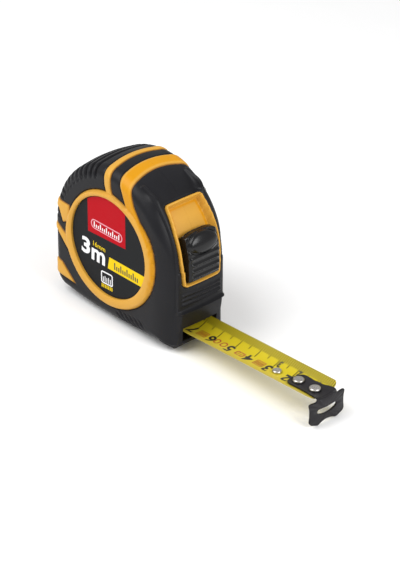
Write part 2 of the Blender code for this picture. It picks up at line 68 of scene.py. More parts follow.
MM = 0.001
CENTRE_HEIGHT = 31.1  # of the label and the ring round it
RING_INNER = 20.76  # radius where the ring meets the label
SCALE_ZERO = 101.2  # place of the blade scale's zero
SCREW_PLACES = ((19.6, 51.9), (-19.6, 51.9), (-25.0, 9.5))  # (x, z) of the case screws
LABEL_FACE = 15.5  # distance of the label from the parting plane
LABEL_LOW, LABEL_HIGH = (np.array(corner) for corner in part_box("left_label"))
ORIGIN = np.array(
    [
        (LABEL_LOW[0] + LABEL_HIGH[0]) / 2,
        LABEL_LOW[1] + LABEL_FACE * MM,
        (LABEL_LOW[2] + LABEL_HIGH[2]) / 2 - CENTRE_HEIGHT * MM,
    ]
)


class Side(Enum):
    """The two halves of the case."""

    LEFT = -1
    RIGHT = 1


class Slot(Enum):
    """The record's material slots that new pieces belong to."""

    ORANGE = "orange_plastic"
    RUBBER = "black_rubber"
    LABEL = "label_print"
    BUTTON = "black_plastic"
    BLADE = "yellow_blade"
    SPRING = "spring_steel"
    HOOK = "black_steel"
    RIVET = "bright_steel"


def to_row(points: Array) -> Array:
    """Points in millimetres in the case's frame, as metres in the row frame.

    Args:
        points: array whose last axis is (x, y, z).

    Returns:
        Array of the same shape.
    """
    return points * MM + ORIGIN


def smooth(value: Array, low: float, high: float) -> Array:
    """Cubic step: 0 below low, 1 above high, 3s^2 - 2s^3 between."""
    share = np.clip((value - low) / (high - low), 0.0, 1.0)
    return share * share * (3.0 - 2.0 * share)


def hump(value: Array, centre: float, width: float) -> Array:
    """Bell of height 1 at centre: exp(-((value - centre) / width)^2)."""
    return np.exp(-(((value - centre) / width) ** 2))


def inside_polygon(x: Array, z: Array, corners: Array) -> Array:
    """Signed distance to a polygon's edge, positive inside.

    The distance is the least over the edges of the length from the point to its foot on the
    edge; the sign flips each time a ray to +x crosses an edge.

    Args:
        x: first coordinates.
        z: second coordinates, same shape.
        corners: (n, 2) corners in order.

    Returns:
        Distances, same shape as x.
    """
    least = np.full(x.shape, 1e9)
    odd = np.zeros(x.shape, dtype=bool)
    for start, end in zip(corners, np.roll(corners, -1, axis=0)):
        along = end - start
        over_x, over_z = x - start[0], z - start[1]
        share = np.clip((over_x * along[0] + over_z * along[1]) / (along @ along), 0.0, 1.0)
        least = np.minimum(least, np.hypot(over_x - share * along[0], over_z - share * along[1]))
        crosses = (start[1] > z) != (end[1] > z)
        rise = along[1] if along[1] else 1e-9
        odd ^= crosses & (x < start[0] + over_z * along[0] / rise)
    return np.where(odd, least, -least)


def inside_rounded_box(
    u: Array, v: Array, half_u: float, half_v: Array | float, radius: float,
) -> Array:
    """Signed distance to a rounded rectangle centred on 0, positive inside.

    Args:
        u: first coordinates.
        v: second coordinates.
        half_u: half size along u.
        half_v: half size along v.
        radius: corner radius.

    Returns:
        Distances, same shape as u.
    """
    over_u = np.abs(u) - half_u + radius
    over_v = np.abs(v) - half_v + radius
    outside = np.hypot(np.maximum(over_u, 0.0), np.maximum(over_v, 0.0))
    return radius - outside - np.minimum(np.maximum(over_u, over_v), 0.0)


def grid_faces(rows: int, columns: int, round_rows: bool, round_columns: bool) -> Array:
    """Quads of a grid of rows by columns points, numbered row by row.

    Args:
        rows: number of rows.
        columns: number of columns.
        round_rows: whether the last row joins the first.
        round_columns: whether the last column joins the first.

    Returns:
        (n, 4) point numbers.
    """
    row = np.arange(rows if round_rows else rows - 1)[:, None]
    column = np.arange(columns if round_columns else columns - 1)[None, :]
    below = (row + 1) % rows
    beside = (column + 1) % columns
    above, under = row * columns, below * columns
    corners = (above + column, above + beside, under + beside, under + column)
    full = [np.broadcast_to(corner, (row.size, column.size)) for corner in corners]
    return np.stack(full, axis=-1).reshape(-1, 4)


def outward(points: Array, faces: Array) -> Array:
    """The quads, all turned round if the volume that they enclose comes out negative.

    Args:
        points: (n, 3) points.
        faces: (m, 4) point numbers.

    Returns:
        (m, 4) point numbers.
    """
    a, b, c, d = (points[faces[:, corner]] for corner in range(4))
    volume = np.einsum("ij,ij->i", a, np.cross(b, c)) + np.einsum("ij,ij->i", a, np.cross(c, d))
    return faces if volume.sum() >= 0 else faces[:, ::-1]


def make_piece(
    name: str,
    points: Array,
    faces: list,
    material: bpy.types.Material,
    body: str,
    replaced: tuple[str, ...] = (),
    marks: dict[str, Array] | None = None,
    crease: float = 40.0,
) -> bpy.types.Object:
    """Turn points and faces into a piece of the tape measure.

    Args:
        name: the piece's name.
        points: (n, 3) in millimetres in the case's frame.
        faces: lists of point numbers.
        material: its material.
        body: the CAD body it rides on.
        replaced: CAD nodes that it stands for.
        marks: named numbers per point that the material reads.
        crease: edges sharper than this many degrees stay sharp.

    Returns:
        The new object.
    """
    mesh = bpy.data.meshes.new(name)
    mesh.from_pydata(to_row(points).tolist(), [], faces)
    mesh.update()
    for mark, values in (marks or {}).items():
        attribute = mesh.attributes.new(mark, "FLOAT", "POINT")
        attribute.data.foreach_set("value", np.asarray(values, dtype=np.float32).ravel())
    mesh.materials.append(material)
    mesh.shade_smooth()
    mesh.set_sharp_from_angle(angle=math.radians(crease))
    piece = bpy.data.objects.new(name, mesh)
    bpy.context.scene.collection.objects.link(piece)
    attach(piece, body)
    if replaced:
        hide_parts(*replaced)
    LOG.info("%s: %d points", name, len(points))
    return piece


class Tree:
    """A material's node tree, with short calls for the nodes used here."""

    def __init__(self, name: str) -> None:
        """Make the material and keep its surface shader.

        Args:
            name: the material's name.
        """
        self.material = bpy.data.materials.new(name)
        self.material.use_nodes = True
        self.nodes = self.material.node_tree.nodes
        self.shader = self.nodes["Principled BSDF"]

    def add(self, kind: str, **settings: object) -> bpy.types.Node:
        """A new node of that kind with those properties.

        Args:
            kind: the node's type.
            settings: its properties.

        Returns:
            The node.
        """
        node = self.nodes.new(kind)
        for key, value in settings.items():
            setattr(node, key, value)
        return node

    def link(self, source: Socket, target: Socket) -> None:
        """Join an output to an input."""
        self.material.node_tree.links.new(source, target)

    def math(self, operation: str, first: object, second: object = 0.0) -> Socket:
        """One step of arithmetic on sockets or numbers.

        Args:
            operation: what to do.
            first: a socket or a number.
            second: a socket or a number.

        Returns:
            The result.
        """
        node = self.add("ShaderNodeMath", operation=operation)
        for socket, value in zip(node.inputs, (first, second)):
            if isinstance(value, Socket):
                self.link(value, socket)
            else:
                socket.default_value = value
        return node.outputs[0]

    def position(self) -> Socket:
        """Object coordinates."""
        return self.add("ShaderNodeTexCoord").outputs["Object"]

    def noise(self, scale: float, detail: float = 3.0) -> Socket:
        """Noise of that many features per metre.

        Args:
            scale: features per metre.
            detail: how many finer layers it has.

        Returns:
            Its value.
        """
        node = self.add("ShaderNodeTexNoise")
        node.inputs["Scale"].default_value = scale
        node.inputs["Detail"].default_value = detail
        self.link(self.position(), node.inputs["Vector"])
        return node.outputs["Fac"]

    def mark(self, name: str) -> Socket:
        """A number kept per point on the mesh."""
        return self.add("ShaderNodeAttribute", attribute_name=name).outputs["Fac"]

    def mix(self, share: Socket, first: object, second: object) -> Socket:
        """Colour between first and second, which are colours or sockets.

        Args:
            share: 0 for first, 1 for second.
            first: a colour or a socket.
            second: a colour or a socket.

        Returns:
            The colour.
        """
        node = self.add("ShaderNodeMix", data_type="RGBA")
        self.link(share, node.inputs["Factor"])
        for socket, value in zip((node.inputs[6], node.inputs[7]), (first, second)):
            if isinstance(value, Socket):
                self.link(value, socket)
            else:
                socket.default_value = (*value, 1.0)
        return node.outputs[2]

    def span(self, value: Socket, low: float, high: float, to_low: float, to_high: float) -> Socket:
        """The value carried from the range low..high to to_low..to_high, and kept inside it.

        Args:
            value: what to carry over.
            low: start of its range.
            high: end of its range.
            to_low: what low becomes.
            to_high: what high becomes.

        Returns:
            The result.
        """
        node = self.add("ShaderNodeMapRange")
        self.link(value, node.inputs["Value"])
        ends = {"From Min": low, "From Max": high, "To Min": to_low, "To Max": to_high}
        for key, number in ends.items():
            node.inputs[key].default_value = number
        return node.outputs["Result"]

    def bump(self, height: Socket, strength: float, depth: float) -> None:
        """Raise the surface by height times depth, in metres.

        Args:
            height: 0 to 1.
            strength: share of the effect.
            depth: metres for a height of 1.
        """
        node = self.add("ShaderNodeBump")
        node.inputs["Strength"].default_value = strength
        node.inputs["Distance"].default_value = depth
        self.link(height, node.inputs["Height"])
        self.link(node.outputs["Normal"], self.shader.inputs["Normal"])


@dataclass(frozen=True)
class Finish:
    """A plain finish: two close colours, a roughness that wanders, and a fine grain."""

    name: str
    colour: tuple[float, float, float]
    second: tuple[float, float, float]
    roughness: tuple[float, float] = (0.35, 0.5)
    metallic: float = 0.0
    specular: float = 0.5
    coat: float = 0.0
    patch_scale: float = 60.0
    grain_scale: float = 2500.0
    grain: float = 0.15
    grain_depth: float = 0.00008

    def tree(self) -> tuple[Tree, Socket]:
        """The node tree and its colour output, before the colour is joined to the shader.

        Returns:
            The tree and its colour output.
        """
        tree = Tree(self.name)
        patches = tree.noise(self.patch_scale, 4.0)
        colour = tree.mix(tree.span(patches, 0.3, 0.7, 0.0, 1.0), self.colour, self.second)
        tree.link(tree.span(patches, 0.3, 0.7, *self.roughness), tree.shader.inputs["Roughness"])
        tree.shader.inputs["Metallic"].default_value = self.metallic
        tree.shader.inputs["Specular IOR Level"].default_value = self.specular
        tree.shader.inputs["Coat Weight"].default_value = self.coat
        tree.shader.inputs["Coat Roughness"].default_value = 0.2
        tree.bump(tree.noise(self.grain_scale, 2.0), self.grain, self.grain_depth)
        return tree, colour

    def make(self) -> bpy.types.Material:
        """The finished material.

        Returns:
            The material.
        """
        tree, colour = self.tree()
        tree.link(colour, tree.shader.inputs["Base Color"])
        return tree.material


@dataclass(frozen=True)
class OrangePlastic(Finish):
    """Orange plastic with painted shade: a deeper orange where a mark per point asks for it, brown painted
    shade in the gaps along its edges, and near-black painted shade where it lies under the rubber.
    """

    # painted shade: a deeper orange for slopes and walls that face away from the light
    amber: tuple[float, float, float] = (0.60, 0.26, 0.0)
    # brown painted shade for the gaps along the plastic's edges
    shade: tuple[float, float, float] = (0.30, 0.12, 0.01)
    # near-black painted shade for plastic that lies under the rubber, where the openings show it
    covered: tuple[float, float, float] = (0.012, 0.01, 0.009)

    def make(self) -> bpy.types.Material:
        """The finished material.

        Returns:
            The material.
        """
        tree, colour = self.tree()
        # deeper orange mixed in as painted shade
        deeper = tree.mix(tree.mark("amber"), colour, self.amber)
        # painted shade in the gaps within 0.35 mm of the plastic's edge
        gap_shade = tree.span(tree.mark("rim"), 0.0, 0.35, 1.0, 0.0)
        # painted shade: near-black where the plastic runs in under the rubber
        hidden = tree.span(tree.mark("rim"), -0.8, -0.3, 1.0, 0.0)
        shaded = tree.mix(gap_shade, deeper, self.shade)
        tree.link(tree.mix(hidden, shaded, self.covered), tree.shader.inputs["Base Color"])
        return tree.material


@dataclass(frozen=True)
class ScalePrint(Finish):
    """Yellow lacquer with a printed millimetre scale along the blade's far edge.

    Each row of ticks holds half of its step and the distance from the middle line where it ends.
    """

    ink: tuple[float, float, float] = (0.012, 0.012, 0.008)
    # painted sheen: the blade is painted paler towards its edge on the label side
    pale: tuple[float, float, float] = (0.62, 0.48, 0.10)
    half_line: float = 0.2
    ticks: tuple[tuple[float, float], ...] = ((0.5, 5.2), (2.5, 3.7), (5.0, 1.7))

    def make(self) -> bpy.types.Material:
        """The finished material: ticks where the distance to the nearest 1, 5 or 10 mm is small.

        Returns:
            The material.
        """
        tree, colour = self.tree()
        split = tree.add("ShaderNodeSeparateXYZ")
        tree.link(tree.position(), split.inputs[0])
        forward = tree.math("MULTIPLY", split.outputs["X"], 1000.0)
        from_zero = tree.math("SUBTRACT", SCALE_ZERO + ORIGIN[0] / MM, forward)
        sideways = tree.math("MULTIPLY", split.outputs["Y"], 1000.0)
        across = tree.math("SUBTRACT", sideways, ORIGIN[1] / MM)
        marks = None
        for half_step, end in self.ticks:
            near = tree.math("LESS_THAN", tree.math("PINGPONG", from_zero, half_step), self.half_line)
            tick = tree.math("MULTIPLY", near, tree.math("GREATER_THAN", across, end))
            marks = tick if marks is None else tree.math("MAXIMUM", marks, tick)
        # painted sheen, fading from the label-side edge to just past the middle
        painted_sheen = tree.mix(tree.span(across, -7.9, 2.0, 0.55, 0.0), colour, self.pale)
        tree.link(tree.mix(marks, painted_sheen, self.ink), tree.shader.inputs["Base Color"])
        return tree.material


@dataclass(frozen=True)
class BrushedSteel(Finish):
    """Steel with fine lines drawn along one axis."""

    stretch: tuple[float, float, float] = (1.0, 1.0, 0.03)

    def make(self) -> bpy.types.Material:
        """The finished material: noise squeezed along the lines drives roughness and bump.

        Returns:
            The material.
        """
        tree, colour = self.tree()
        mapping = tree.add("ShaderNodeMapping")
        mapping.inputs["Scale"].default_value = self.stretch
        tree.link(tree.position(), mapping.inputs["Vector"])
        lines = tree.add("ShaderNodeTexNoise")
        lines.inputs["Scale"].default_value = 6000.0
        tree.link(mapping.outputs[0], lines.inputs["Vector"])
        rough = tree.span(lines.outputs["Fac"], 0.3, 0.7, *self.roughness)
        tree.link(rough, tree.shader.inputs["Roughness"])
        tree.bump(lines.outputs["Fac"], self.grain, self.grain_depth)
        tree.link(colour, tree.shader.inputs["Base Color"])
        return tree.material


@dataclass(frozen=True)
class Finishes:
    """Every finish of the tape measure."""

    orange: OrangePlastic = OrangePlastic(
        "orange_case_plastic", (0.64, 0.335, 0.045), (0.61, 0.315, 0.04),
        (0.38, 0.5), specular=0.25, grain=0.1,
    )
    rubber: Finish = Finish(
        "soft_black_rubber", (0.007, 0.007, 0.0085), (0.0105, 0.0105, 0.013),
        (0.38, 0.5), specular=0.19, grain=0.35,
    )
    label: Finish = Finish(
        "label_black", (0.01, 0.011, 0.012), (0.012, 0.013, 0.0145), (0.5, 0.6), specular=0.1,
        grain=0.03,
    )
    red: Finish = Finish(
        "label_red", (0.42, 0.0, 0.006), (0.44, 0.001, 0.008), (0.5, 0.6), specular=0.1, grain=0.03
    )
    white: Finish = Finish("label_white", (0.86, 0.86, 0.87), (0.8, 0.8, 0.82), (0.4, 0.5), grain=0.03)
    pink: Finish = Finish("label_pink", (0.74, 0.3, 0.36), (0.72, 0.28, 0.34), (0.4, 0.5), grain=0.03)
    yellow: Finish = Finish(
        "label_yellow", (0.80, 0.56, 0.0), (0.77, 0.54, 0.0), (0.5, 0.6), specular=0.15, grain=0.03
    )
    ink: Finish = Finish(
        "black_ink", (0.01, 0.01, 0.01), (0.016, 0.015, 0.012), (0.35, 0.45), grain=0.03
    )
    red_ink: Finish = Finish(
        "red_ink", (0.30, 0.03, 0.006), (0.34, 0.045, 0.01), (0.35, 0.45), grain=0.03
    )
    button: Finish = Finish(
        "black_button_plastic", (0.0035, 0.0035, 0.004), (0.005, 0.005, 0.006),
        (0.2, 0.3), specular=0.32, grain=0.08,
    )
    blade: ScalePrint = ScalePrint(
        "blade_lacquer", (0.51, 0.405, 0.01), (0.55, 0.44, 0.014), (0.4, 0.5), specular=0.2, grain=0.03
    )
    hook: Finish = Finish(
        "black_oxide_steel", (0.009, 0.008, 0.0095), (0.015, 0.0135, 0.016),
        (0.4, 0.55), 0.05, specular=0.28, grain=0.2,
    )
    rivet: BrushedSteel = BrushedSteel(
        "nickel_rivet", (0.62, 0.6, 0.57), (0.5, 0.48, 0.45),
        (0.2, 0.38), 1.0, grain=0.1, stretch=(1.0, 0.2, 1.0),
    )
    spring: BrushedSteel = BrushedSteel(
        "cold_rolled_steel", (0.42, 0.43, 0.46), (0.36, 0.37, 0.4), (0.24, 0.4), 1.0, grain=0.12
    )
    acetal: Finish = Finish(
        "white_acetal", (0.72, 0.72, 0.69), (0.66, 0.66, 0.63), (0.4, 0.5), grain=0.1
    )
    pad: Finish = Finish("brake_rubber", (0.1, 0.1, 0.1), (0.14, 0.14, 0.14), (0.7, 0.85), grain=0.5)


FINISHES = Finishes()


@dataclass
class CaseForm:
    """The case's outer form: a side outline carried across, drawn in towards both side faces.

    A point of the form has a station along the outline and a line across. The outline is an upright
    nose, a round crown, an upright back, a rounded heel, a base that rises to the heel, and a
    small toe. A line across sets how far the outline is drawn in (inset), how much further the
    nose is (nose inset) and the distance from the parting plane (depth).
    """

    radius: float = 33.5  # of the crown
    heel: float = 8.0  # radius of the heel
    rise: float = 2.0  # of the base at the heel
    rise_start: float = -8.0  # x where the base begins to rise
    toe: float = 1.1  # radius of the toe
    barrel: float = 10.3  # distance from the parting plane where the shoulder begins
    depth: float = 15.3  # distance from the parting plane where it ends
    crown_inset: float = 4.3  # how far the shoulder draws the outline in
    arch: float = 0.85  # how far the crown falls from its middle to the shoulder
    nose_inset: float = 6.8  # how much further the shoulder draws the nose in
    mouth: tuple[float, float] = (1.72, 7.2)  # heights of the blade's opening
    mouth_half_width: float = 8.7
    slot_half_width: float = 2.6
    slot_low: float = 3.0  # degrees below the label's centre
    slot_high: float = 23.5  # degrees above it

    CROWN = 1000.0  # added to an angle on the crown, to tell it from a height on the nose

    def stations(self) -> tuple[Array, Array]:
        """Section number and share along the section for every station.

        Returns:
            Two arrays: 0 nose, 1 crown, 2 back, 3 heel, 4 base, 5 toe; and the share from 0 to 1.
        """
        low, high = ((z - self.toe) / (CENTRE_HEIGHT - self.toe) for z in self.mouth)
        slot = 1.0 - self.slot_drop() / (CENTRE_HEIGHT - self.toe)
        nose = np.concatenate(
            [
                np.linspace(0.0, low, 2)[:-1],
                np.linspace(low, high, 17)[:-1],
                np.linspace(high, slot, 64)[:-1],
                np.linspace(slot, 1.0, 6)[:-1],
            ]
        )
        over_slot = np.linspace(0.0, self.slot_high, 44)[:-1]
        crown = np.concatenate([over_slot, np.linspace(self.slot_high, 180.0, 246)[:-1]]) / 180.0
        others = [np.linspace(0.0, 1.0, count + 1)[:-1] for count in (50, 24, 84, 5)]
        parts = [nose, crown, *others]
        sections = [np.full(len(part), number) for number, part in enumerate(parts)]
        return np.concatenate(sections), np.concatenate(parts)

    def slot_drop(self) -> float:
        """How far the slot behind the lock button reaches below the label's centre."""
        return self.radius * math.sin(math.radians(self.slot_low))

    def lines(self) -> tuple[Array, Array, Array, Array]:
        """Inset, nose inset, depth and share of the way to the ring, for every line across.

        Across the barrel the depth grows evenly and the inset is a shallow arch. Over the
        shoulder a quarter turn t gives depth + span sin t and inset + span (1 - cos t). On the
        side face only the share grows.

        Returns:
            Four arrays with one number for each line.
        """
        barrel = np.concatenate(
            [
                np.linspace(0.02, self.slot_half_width, 8)[:-1],
                np.linspace(self.slot_half_width, self.mouth_half_width, 20)[:-1],
                np.linspace(self.mouth_half_width, self.barrel, 7)[:-1],
            ]
        )
        turn = np.linspace(0.0, np.pi / 2, 18)
        depth = np.concatenate([barrel, self.barrel + (self.depth - self.barrel) * np.sin(turn)])
        round_off = np.concatenate([np.zeros(len(barrel)), 1.0 - np.cos(turn)])
        inset = self.arch * np.minimum(depth / self.barrel, 1.0) ** 2 + self.crown_inset * round_off
        nose = (0.45 - self.arch) * np.minimum(depth / self.barrel, 1.0) ** 2 + self.nose_inset * round_off
        share = np.linspace(0.0, 1.0, 38)[1:]
        count = len(share)
        return (
            np.concatenate([inset, np.full(count, inset[-1])]),
            np.concatenate([nose, np.full(count, nose[-1])]),
            np.concatenate([depth, self.depth + 0.2 * share]),
            np.concatenate([np.zeros(len(depth)), share]),
        )

    def outline(self, inset: Array, nose_inset: Array) -> Array:
        """Side outline at every station, for every line across.

        Args:
            inset: inset of each line.
            nose_inset: nose inset of each line.

        Returns:
            (stations, lines, 2) array of x and z.
        """
        section, share = (values[:, None] for values in self.stations())
        inset, nose_inset = inset[None, :], nose_inset[None, :]
        level = np.maximum(inset - self.arch, 0.0)
        toe = np.maximum(self.toe - level, 0.4)
        front = self.radius - inset - nose_inset
        crown = self.radius - inset
        heel_x = self.heel - self.radius
        heel_z = self.heel + self.rise
        angle = np.pi * share
        turn = np.pi * (1.0 + share / 2)
        base_x = heel_x + share * (front - toe - heel_x)
        steep = self.rise / (heel_x - self.rise_start) ** 2
        lift = steep * np.minimum(base_x - self.rise_start, 0.0) ** 2
        toe_turn = np.pi / 2 * (share - 1.0)
        xs = (
            front + 0.0 * share,
            np.minimum(crown * np.cos(angle), front),
            -crown + 0.0 * share,
            heel_x + (self.heel - inset) * np.cos(turn),
            base_x,
            front - toe + toe * np.cos(toe_turn),
        )
        zs = (
            level + toe + share * (CENTRE_HEIGHT - level - toe),
            CENTRE_HEIGHT + crown * np.sin(angle),
            CENTRE_HEIGHT + share * (heel_z - CENTRE_HEIGHT) + 0.0 * inset,
            heel_z + (self.heel - inset) * np.sin(turn),
            inset + (level - inset) * smooth(share, 0.1, 0.6) + lift,
            level + toe + toe * np.sin(toe_turn),
        )
        picks = [section == number for number in range(6)]
        return np.stack([np.select(picks, xs), np.select(picks, zs)], axis=-1)

    def surface(self, side: Side) -> Array:
        """The smooth form of one half, as a (stations, lines, 3) grid.

        Args:
            side: which half.

        Returns:
            (stations, lines, 3) points of the smooth form.
        """
        inset, nose_inset, depth, share = self.lines()
        flat = self.outline(inset, nose_inset)
        x, z = flat[..., 0], flat[..., 1] - CENTRE_HEIGHT
        reach = np.hypot(x, z)
        scale = 1.0 + share[None, :] * (RING_INNER / reach - 1.0)
        y = np.broadcast_to(side.value * depth[None, :], x.shape)
        return np.stack([x * scale, y, z * scale + CENTRE_HEIGHT], axis=-1)

    def normals(self, grid: Array) -> Array:
        """Unit normals of a grid that is closed along the stations, pointing out of the case.

        Args:
            grid: (stations, lines, 3) points of the smooth form.

        Returns:
            Array of the same shape.
        """
        along = np.roll(grid, -1, axis=0) - np.roll(grid, 1, axis=0)
        across = np.gradient(grid, axis=1)
        normal = np.cross(along, across)
        normal /= np.linalg.norm(normal, axis=-1, keepdims=True) + 1e-12
        middle = grid - np.array([0.0, 0.0, CENTRE_HEIGHT])
        facing = np.sign(np.einsum("ijk,ijk->ij", normal, middle).mean())
        return normal * facing

    def block(self, first: float, last: float, half_width: float) -> tuple[int, int, int]:
        """Stations and lines that bound an opening across the parting plane.

        Args:
            first: lower end, as a height on the nose.
            last: upper end, as a height on the nose, or an angle on the crown with CROWN added.
            half_width: half of its width.

        Returns:
            First station, last station, last line.
        """
        section, share = self.stations()
        height = self.toe + share * (CENTRE_HEIGHT - self.toe)
        place = np.where(section == 1, self.CROWN + 180.0 * share, np.inf)
        place = np.where(section == 0, height, place)
        depth = self.lines()[2]
        return (
            int(np.argmin(np.abs(place - first))),
            int(np.argmin(np.abs(place - last))),
            int(np.argmin(np.abs(depth - half_width))),
        )


@dataclass
class CaseHeights:
    """How far rubber and plastic stand off the smooth form, and where each one shows.

    Every region is a signed distance that is positive where plastic shows. Plastic rises and
    rubber falls across its zero, so their common line is exactly the region's edge.
    """

    ring_outer: float = 25.1  # radius
    frame_middle: float = 17.4  # degrees above the label's centre
    frame_half_length: float = 17.4
    frame_half_width: float = 10.3
    frame_radius: float = 35.0  # of the arc that its length is measured on
    bead: float = 1.3  # width of the frame's raised edge
    seam: float = -0.35  # height where plastic and rubber meet
    hidden: float = -0.95  # height of the plastic under the rubber
    dimple_radius: float = 3.0  # of the hollows round the screws
    dimple_depth: float = 2.1

    # Corners (x, z) of the stripes and of the dark wedge in the ring's top.
    THIN = (
        (-0.7, 53.0), (-2.1, 56.8), (-2.4, 60.8), (-2.8, 63.5), (-2.8, 74.0), (0.2, 74.0), (0.2, 64.5),
        (1.0, 61.0), (1.3, 56.4), (3.4, 51.5),
    )
    THICK = (
        (10.2, 50.8), (8.3, 55.0), (6.7, 59.0), (5.4, 63.5), (5.0, 74.0), (10.6, 74.0), (11.0, 64.0),
        (12.0, 59.4), (14.1, 53.2), (16.2, 50.0), (19.4, 44.6), (17.0, 42.0),
    )
    WEDGE = ((1.9, 54.4), (1.3, 60.0), (6.3, 60.0), (9.7, 51.9), (7.6, 52.7), (3.6, 53.9))
    UPPER = (
        (-22.0, 34.0), (-26.4, 32.1), (-28.6, 37.3), (-38.0, 38.6), (-38.0, 41.6), (-28.4, 41.0),
        (-22.5, 40.5),
    )
    MIDDLE = (
        (-20.8, 18.5), (-24.8, 22.2), (-29.6, 27.3), (-38.0, 28.2), (-38.0, 31.0), (-29.4, 30.3),
        (-23.5, 26.5),
    )
    LOWER = ((-20.1, 7.6), (-29.0, 8.6), (-38.0, 8.2), (-38.0, 15.0), (-29.6, 15.0), (-27.4, 14.4))

    def fields(self, grid: Array) -> tuple[Array, Array, Array, Array]:
        """Coordinates that the regions are drawn in: bowed x, z, distance from the centre, angle.

        Args:
            grid: (stations, lines, 3) points of the smooth form.

        Returns:
            Four arrays with one number for each point.
        """
        x, y, z = grid[..., 0], grid[..., 1], grid[..., 2]
        bow = 1.2 * np.clip(1.0 - (y / 12.0) ** 2, 0.0, 1.0)
        on_crown = smooth(z, 58.0, 62.0)
        above = z - CENTRE_HEIGHT
        return x + bow * on_crown, z, np.hypot(x, above), np.degrees(np.arctan2(above, x))

    def stripes(self, grid: Array) -> Array:
        """Signed distance to the stripes.

        Args:
            grid: (stations, lines, 3) points of the smooth form.

        Returns:
            Distance at each point.
        """
        x, z, _, _ = self.fields(grid)
        shapes = (self.THIN, self.THICK, self.UPPER, self.MIDDLE, self.LOWER)
        return np.maximum.reduce([inside_polygon(x, z, np.array(shape)) for shape in shapes])

    def ring(self, grid: Array) -> Array:
        """Signed distance to the ring round the label, with a dark wedge let into its top.

        Args:
            grid: (stations, lines, 3) points of the smooth form.

        Returns:
            Distance at each point.
        """
        x, z, reach, _ = self.fields(grid)
        wedge = inside_polygon(x, z, np.array(self.WEDGE))
        side = smooth(np.abs(grid[..., 1]), 13.5, 15.0)
        ring = np.minimum(self.outer_radius(grid) - reach, reach - RING_INNER + 2.0)
        return np.where(side > 0.0, np.minimum(ring, -wedge), -5.0)

    def outer_radius(self, grid: Array) -> Array:
        """Outer radius of the ring, which is narrower over its top."""
        angle = np.mod(self.fields(grid)[3], 360.0)
        return self.ring_outer - 1.9 * smooth(90.0 - np.abs(angle - 110.0), 0.0, 50.0)

    def window(self, grid: Array) -> Array:
        """Signed distance to the outside of the frame round the lock button.

        Args:
            grid: (stations, lines, 3) points of the smooth form.

        Returns:
            Distance at each point.
        """
        _, _, reach, angle = self.fields(grid)
        along = np.radians(angle - self.frame_middle) * self.frame_radius
        half_width = self.frame_half_width - 1.0 * smooth(along, 3.0, 17.0) - 0.8 * smooth(-along, 4.0, 17.0)
        box = inside_rounded_box(along, grid[..., 1], self.frame_half_length, half_width, 2.0)
        return np.where((grid[..., 0] > 15.0) & (reach > 24.0), box, -50.0)

    def plastic(self, grid: Array) -> Array:
        """Height of the orange plastic.

        Args:
            grid: (stations, lines, 3) points of the smooth form.

        Returns:
            Height at each point, in millimetres.
        """
        stripes, ring, window = self.stripes(grid), self.ring(grid), self.window(grid)
        reach = self.fields(grid)[2]
        flat = self.seam + 0.75 * smooth(stripes, -0.6, 0.9) - 0.6 * smooth(-stripes, 0.0, 0.6)
        arch = np.clip((reach - RING_INNER) / (self.outer_radius(grid) - RING_INNER), 0.0, 1.0)
        crest = 1.25 * np.sqrt(np.clip(1.0 - (2.0 * arch - 0.9) ** 2 / 1.25, 0.0, 1.0))
        swell = self.seam + smooth(ring, 0.0, 0.8) * (crest - self.seam)
        raised = np.where(ring > 0.0, swell, self.hidden)
        wall = 1.95 * smooth(window, 0.0, 0.6) - 3.1 * smooth(window, self.bead - 0.2, self.bead + 0.6)
        frame_height = self.seam * smooth(-window, -0.3, 0.0) + wall
        return np.where(window > -0.3, frame_height, np.maximum(flat, raised))

    def rubber(self, grid: Array) -> Array:
        """Height of the black rubber, with its ribs, pads and grooves.

        Args:
            grid: (stations, lines, 3) points of the smooth form.

        Returns:
            Height at each point, in millimetres.
        """
        x, z, reach, angle = self.fields(grid)
        across = np.abs(grid[..., 1])
        plastic_near = np.maximum.reduce([self.stripes(grid), self.ring(grid), self.window(grid)])
        edge = self.seam * smooth(plastic_near, -0.55, 0.0) - 2.0 * smooth(plastic_near, 0.0, 1.0)
        relief = self.pad(x, z, angle, across) + self.ribs(x, z, reach, angle, across)
        from_screws = [np.hypot(x - place, z - height) for place, height in SCREW_PLACES]
        hollows = sum(smooth(self.dimple_radius - reach, 0.0, 0.5) for reach in from_screws)
        sunk = self.dimple_depth * hollows * (grid[..., 1] > 10.0)
        return edge + relief * (1.0 - smooth(plastic_near, 0.1, 0.9)) - sunk

    def pad(self, x: Array, z: Array, angle: Array, across: Array) -> Array:
        """The pad on the nose with a scoop and ears at its top, and the block round the mouth.

        Args:
            x: bowed x of each point.
            z: height of each point.
            angle: angle about the label's centre, in degrees.
            across: distance from the parting plane.

        Returns:
            Height at each point, in millimetres.
        """
        front = smooth(x, 12.0, 16.0)
        height = front * smooth(z, 14.0, 14.6) * smooth(66.0 - angle, 0.0, 3.0)
        sheet = 1.25 * smooth(11.7 - across, 0.0, 0.6)
        scoop = -1.3 * smooth(10.6 - across, 0.0, 1.2) * smooth(angle, 45.0, 48.0)
        ear = 1.35 * hump(angle, 51.0, 6.0) * hump(across, 10.9, 1.5)
        low = smooth(x, 20.0, 25.0) * smooth(15.6 - z, 0.0, 1.4) * smooth(12.4 - across, 0.0, 2.6)
        block = low * (1.75 - 1.5 * smooth(14.0 - z, 0.0, 9.5))
        foot = 1.4 * smooth(x, 20.0, 25.0) * smooth(32.2 - x, 0.0, 1.0) * smooth(11.9 - across, 0.0, 0.8)
        return height * (sheet + scoop + ear) + block + foot * smooth(2.0 - z, 0.0, 1.0)

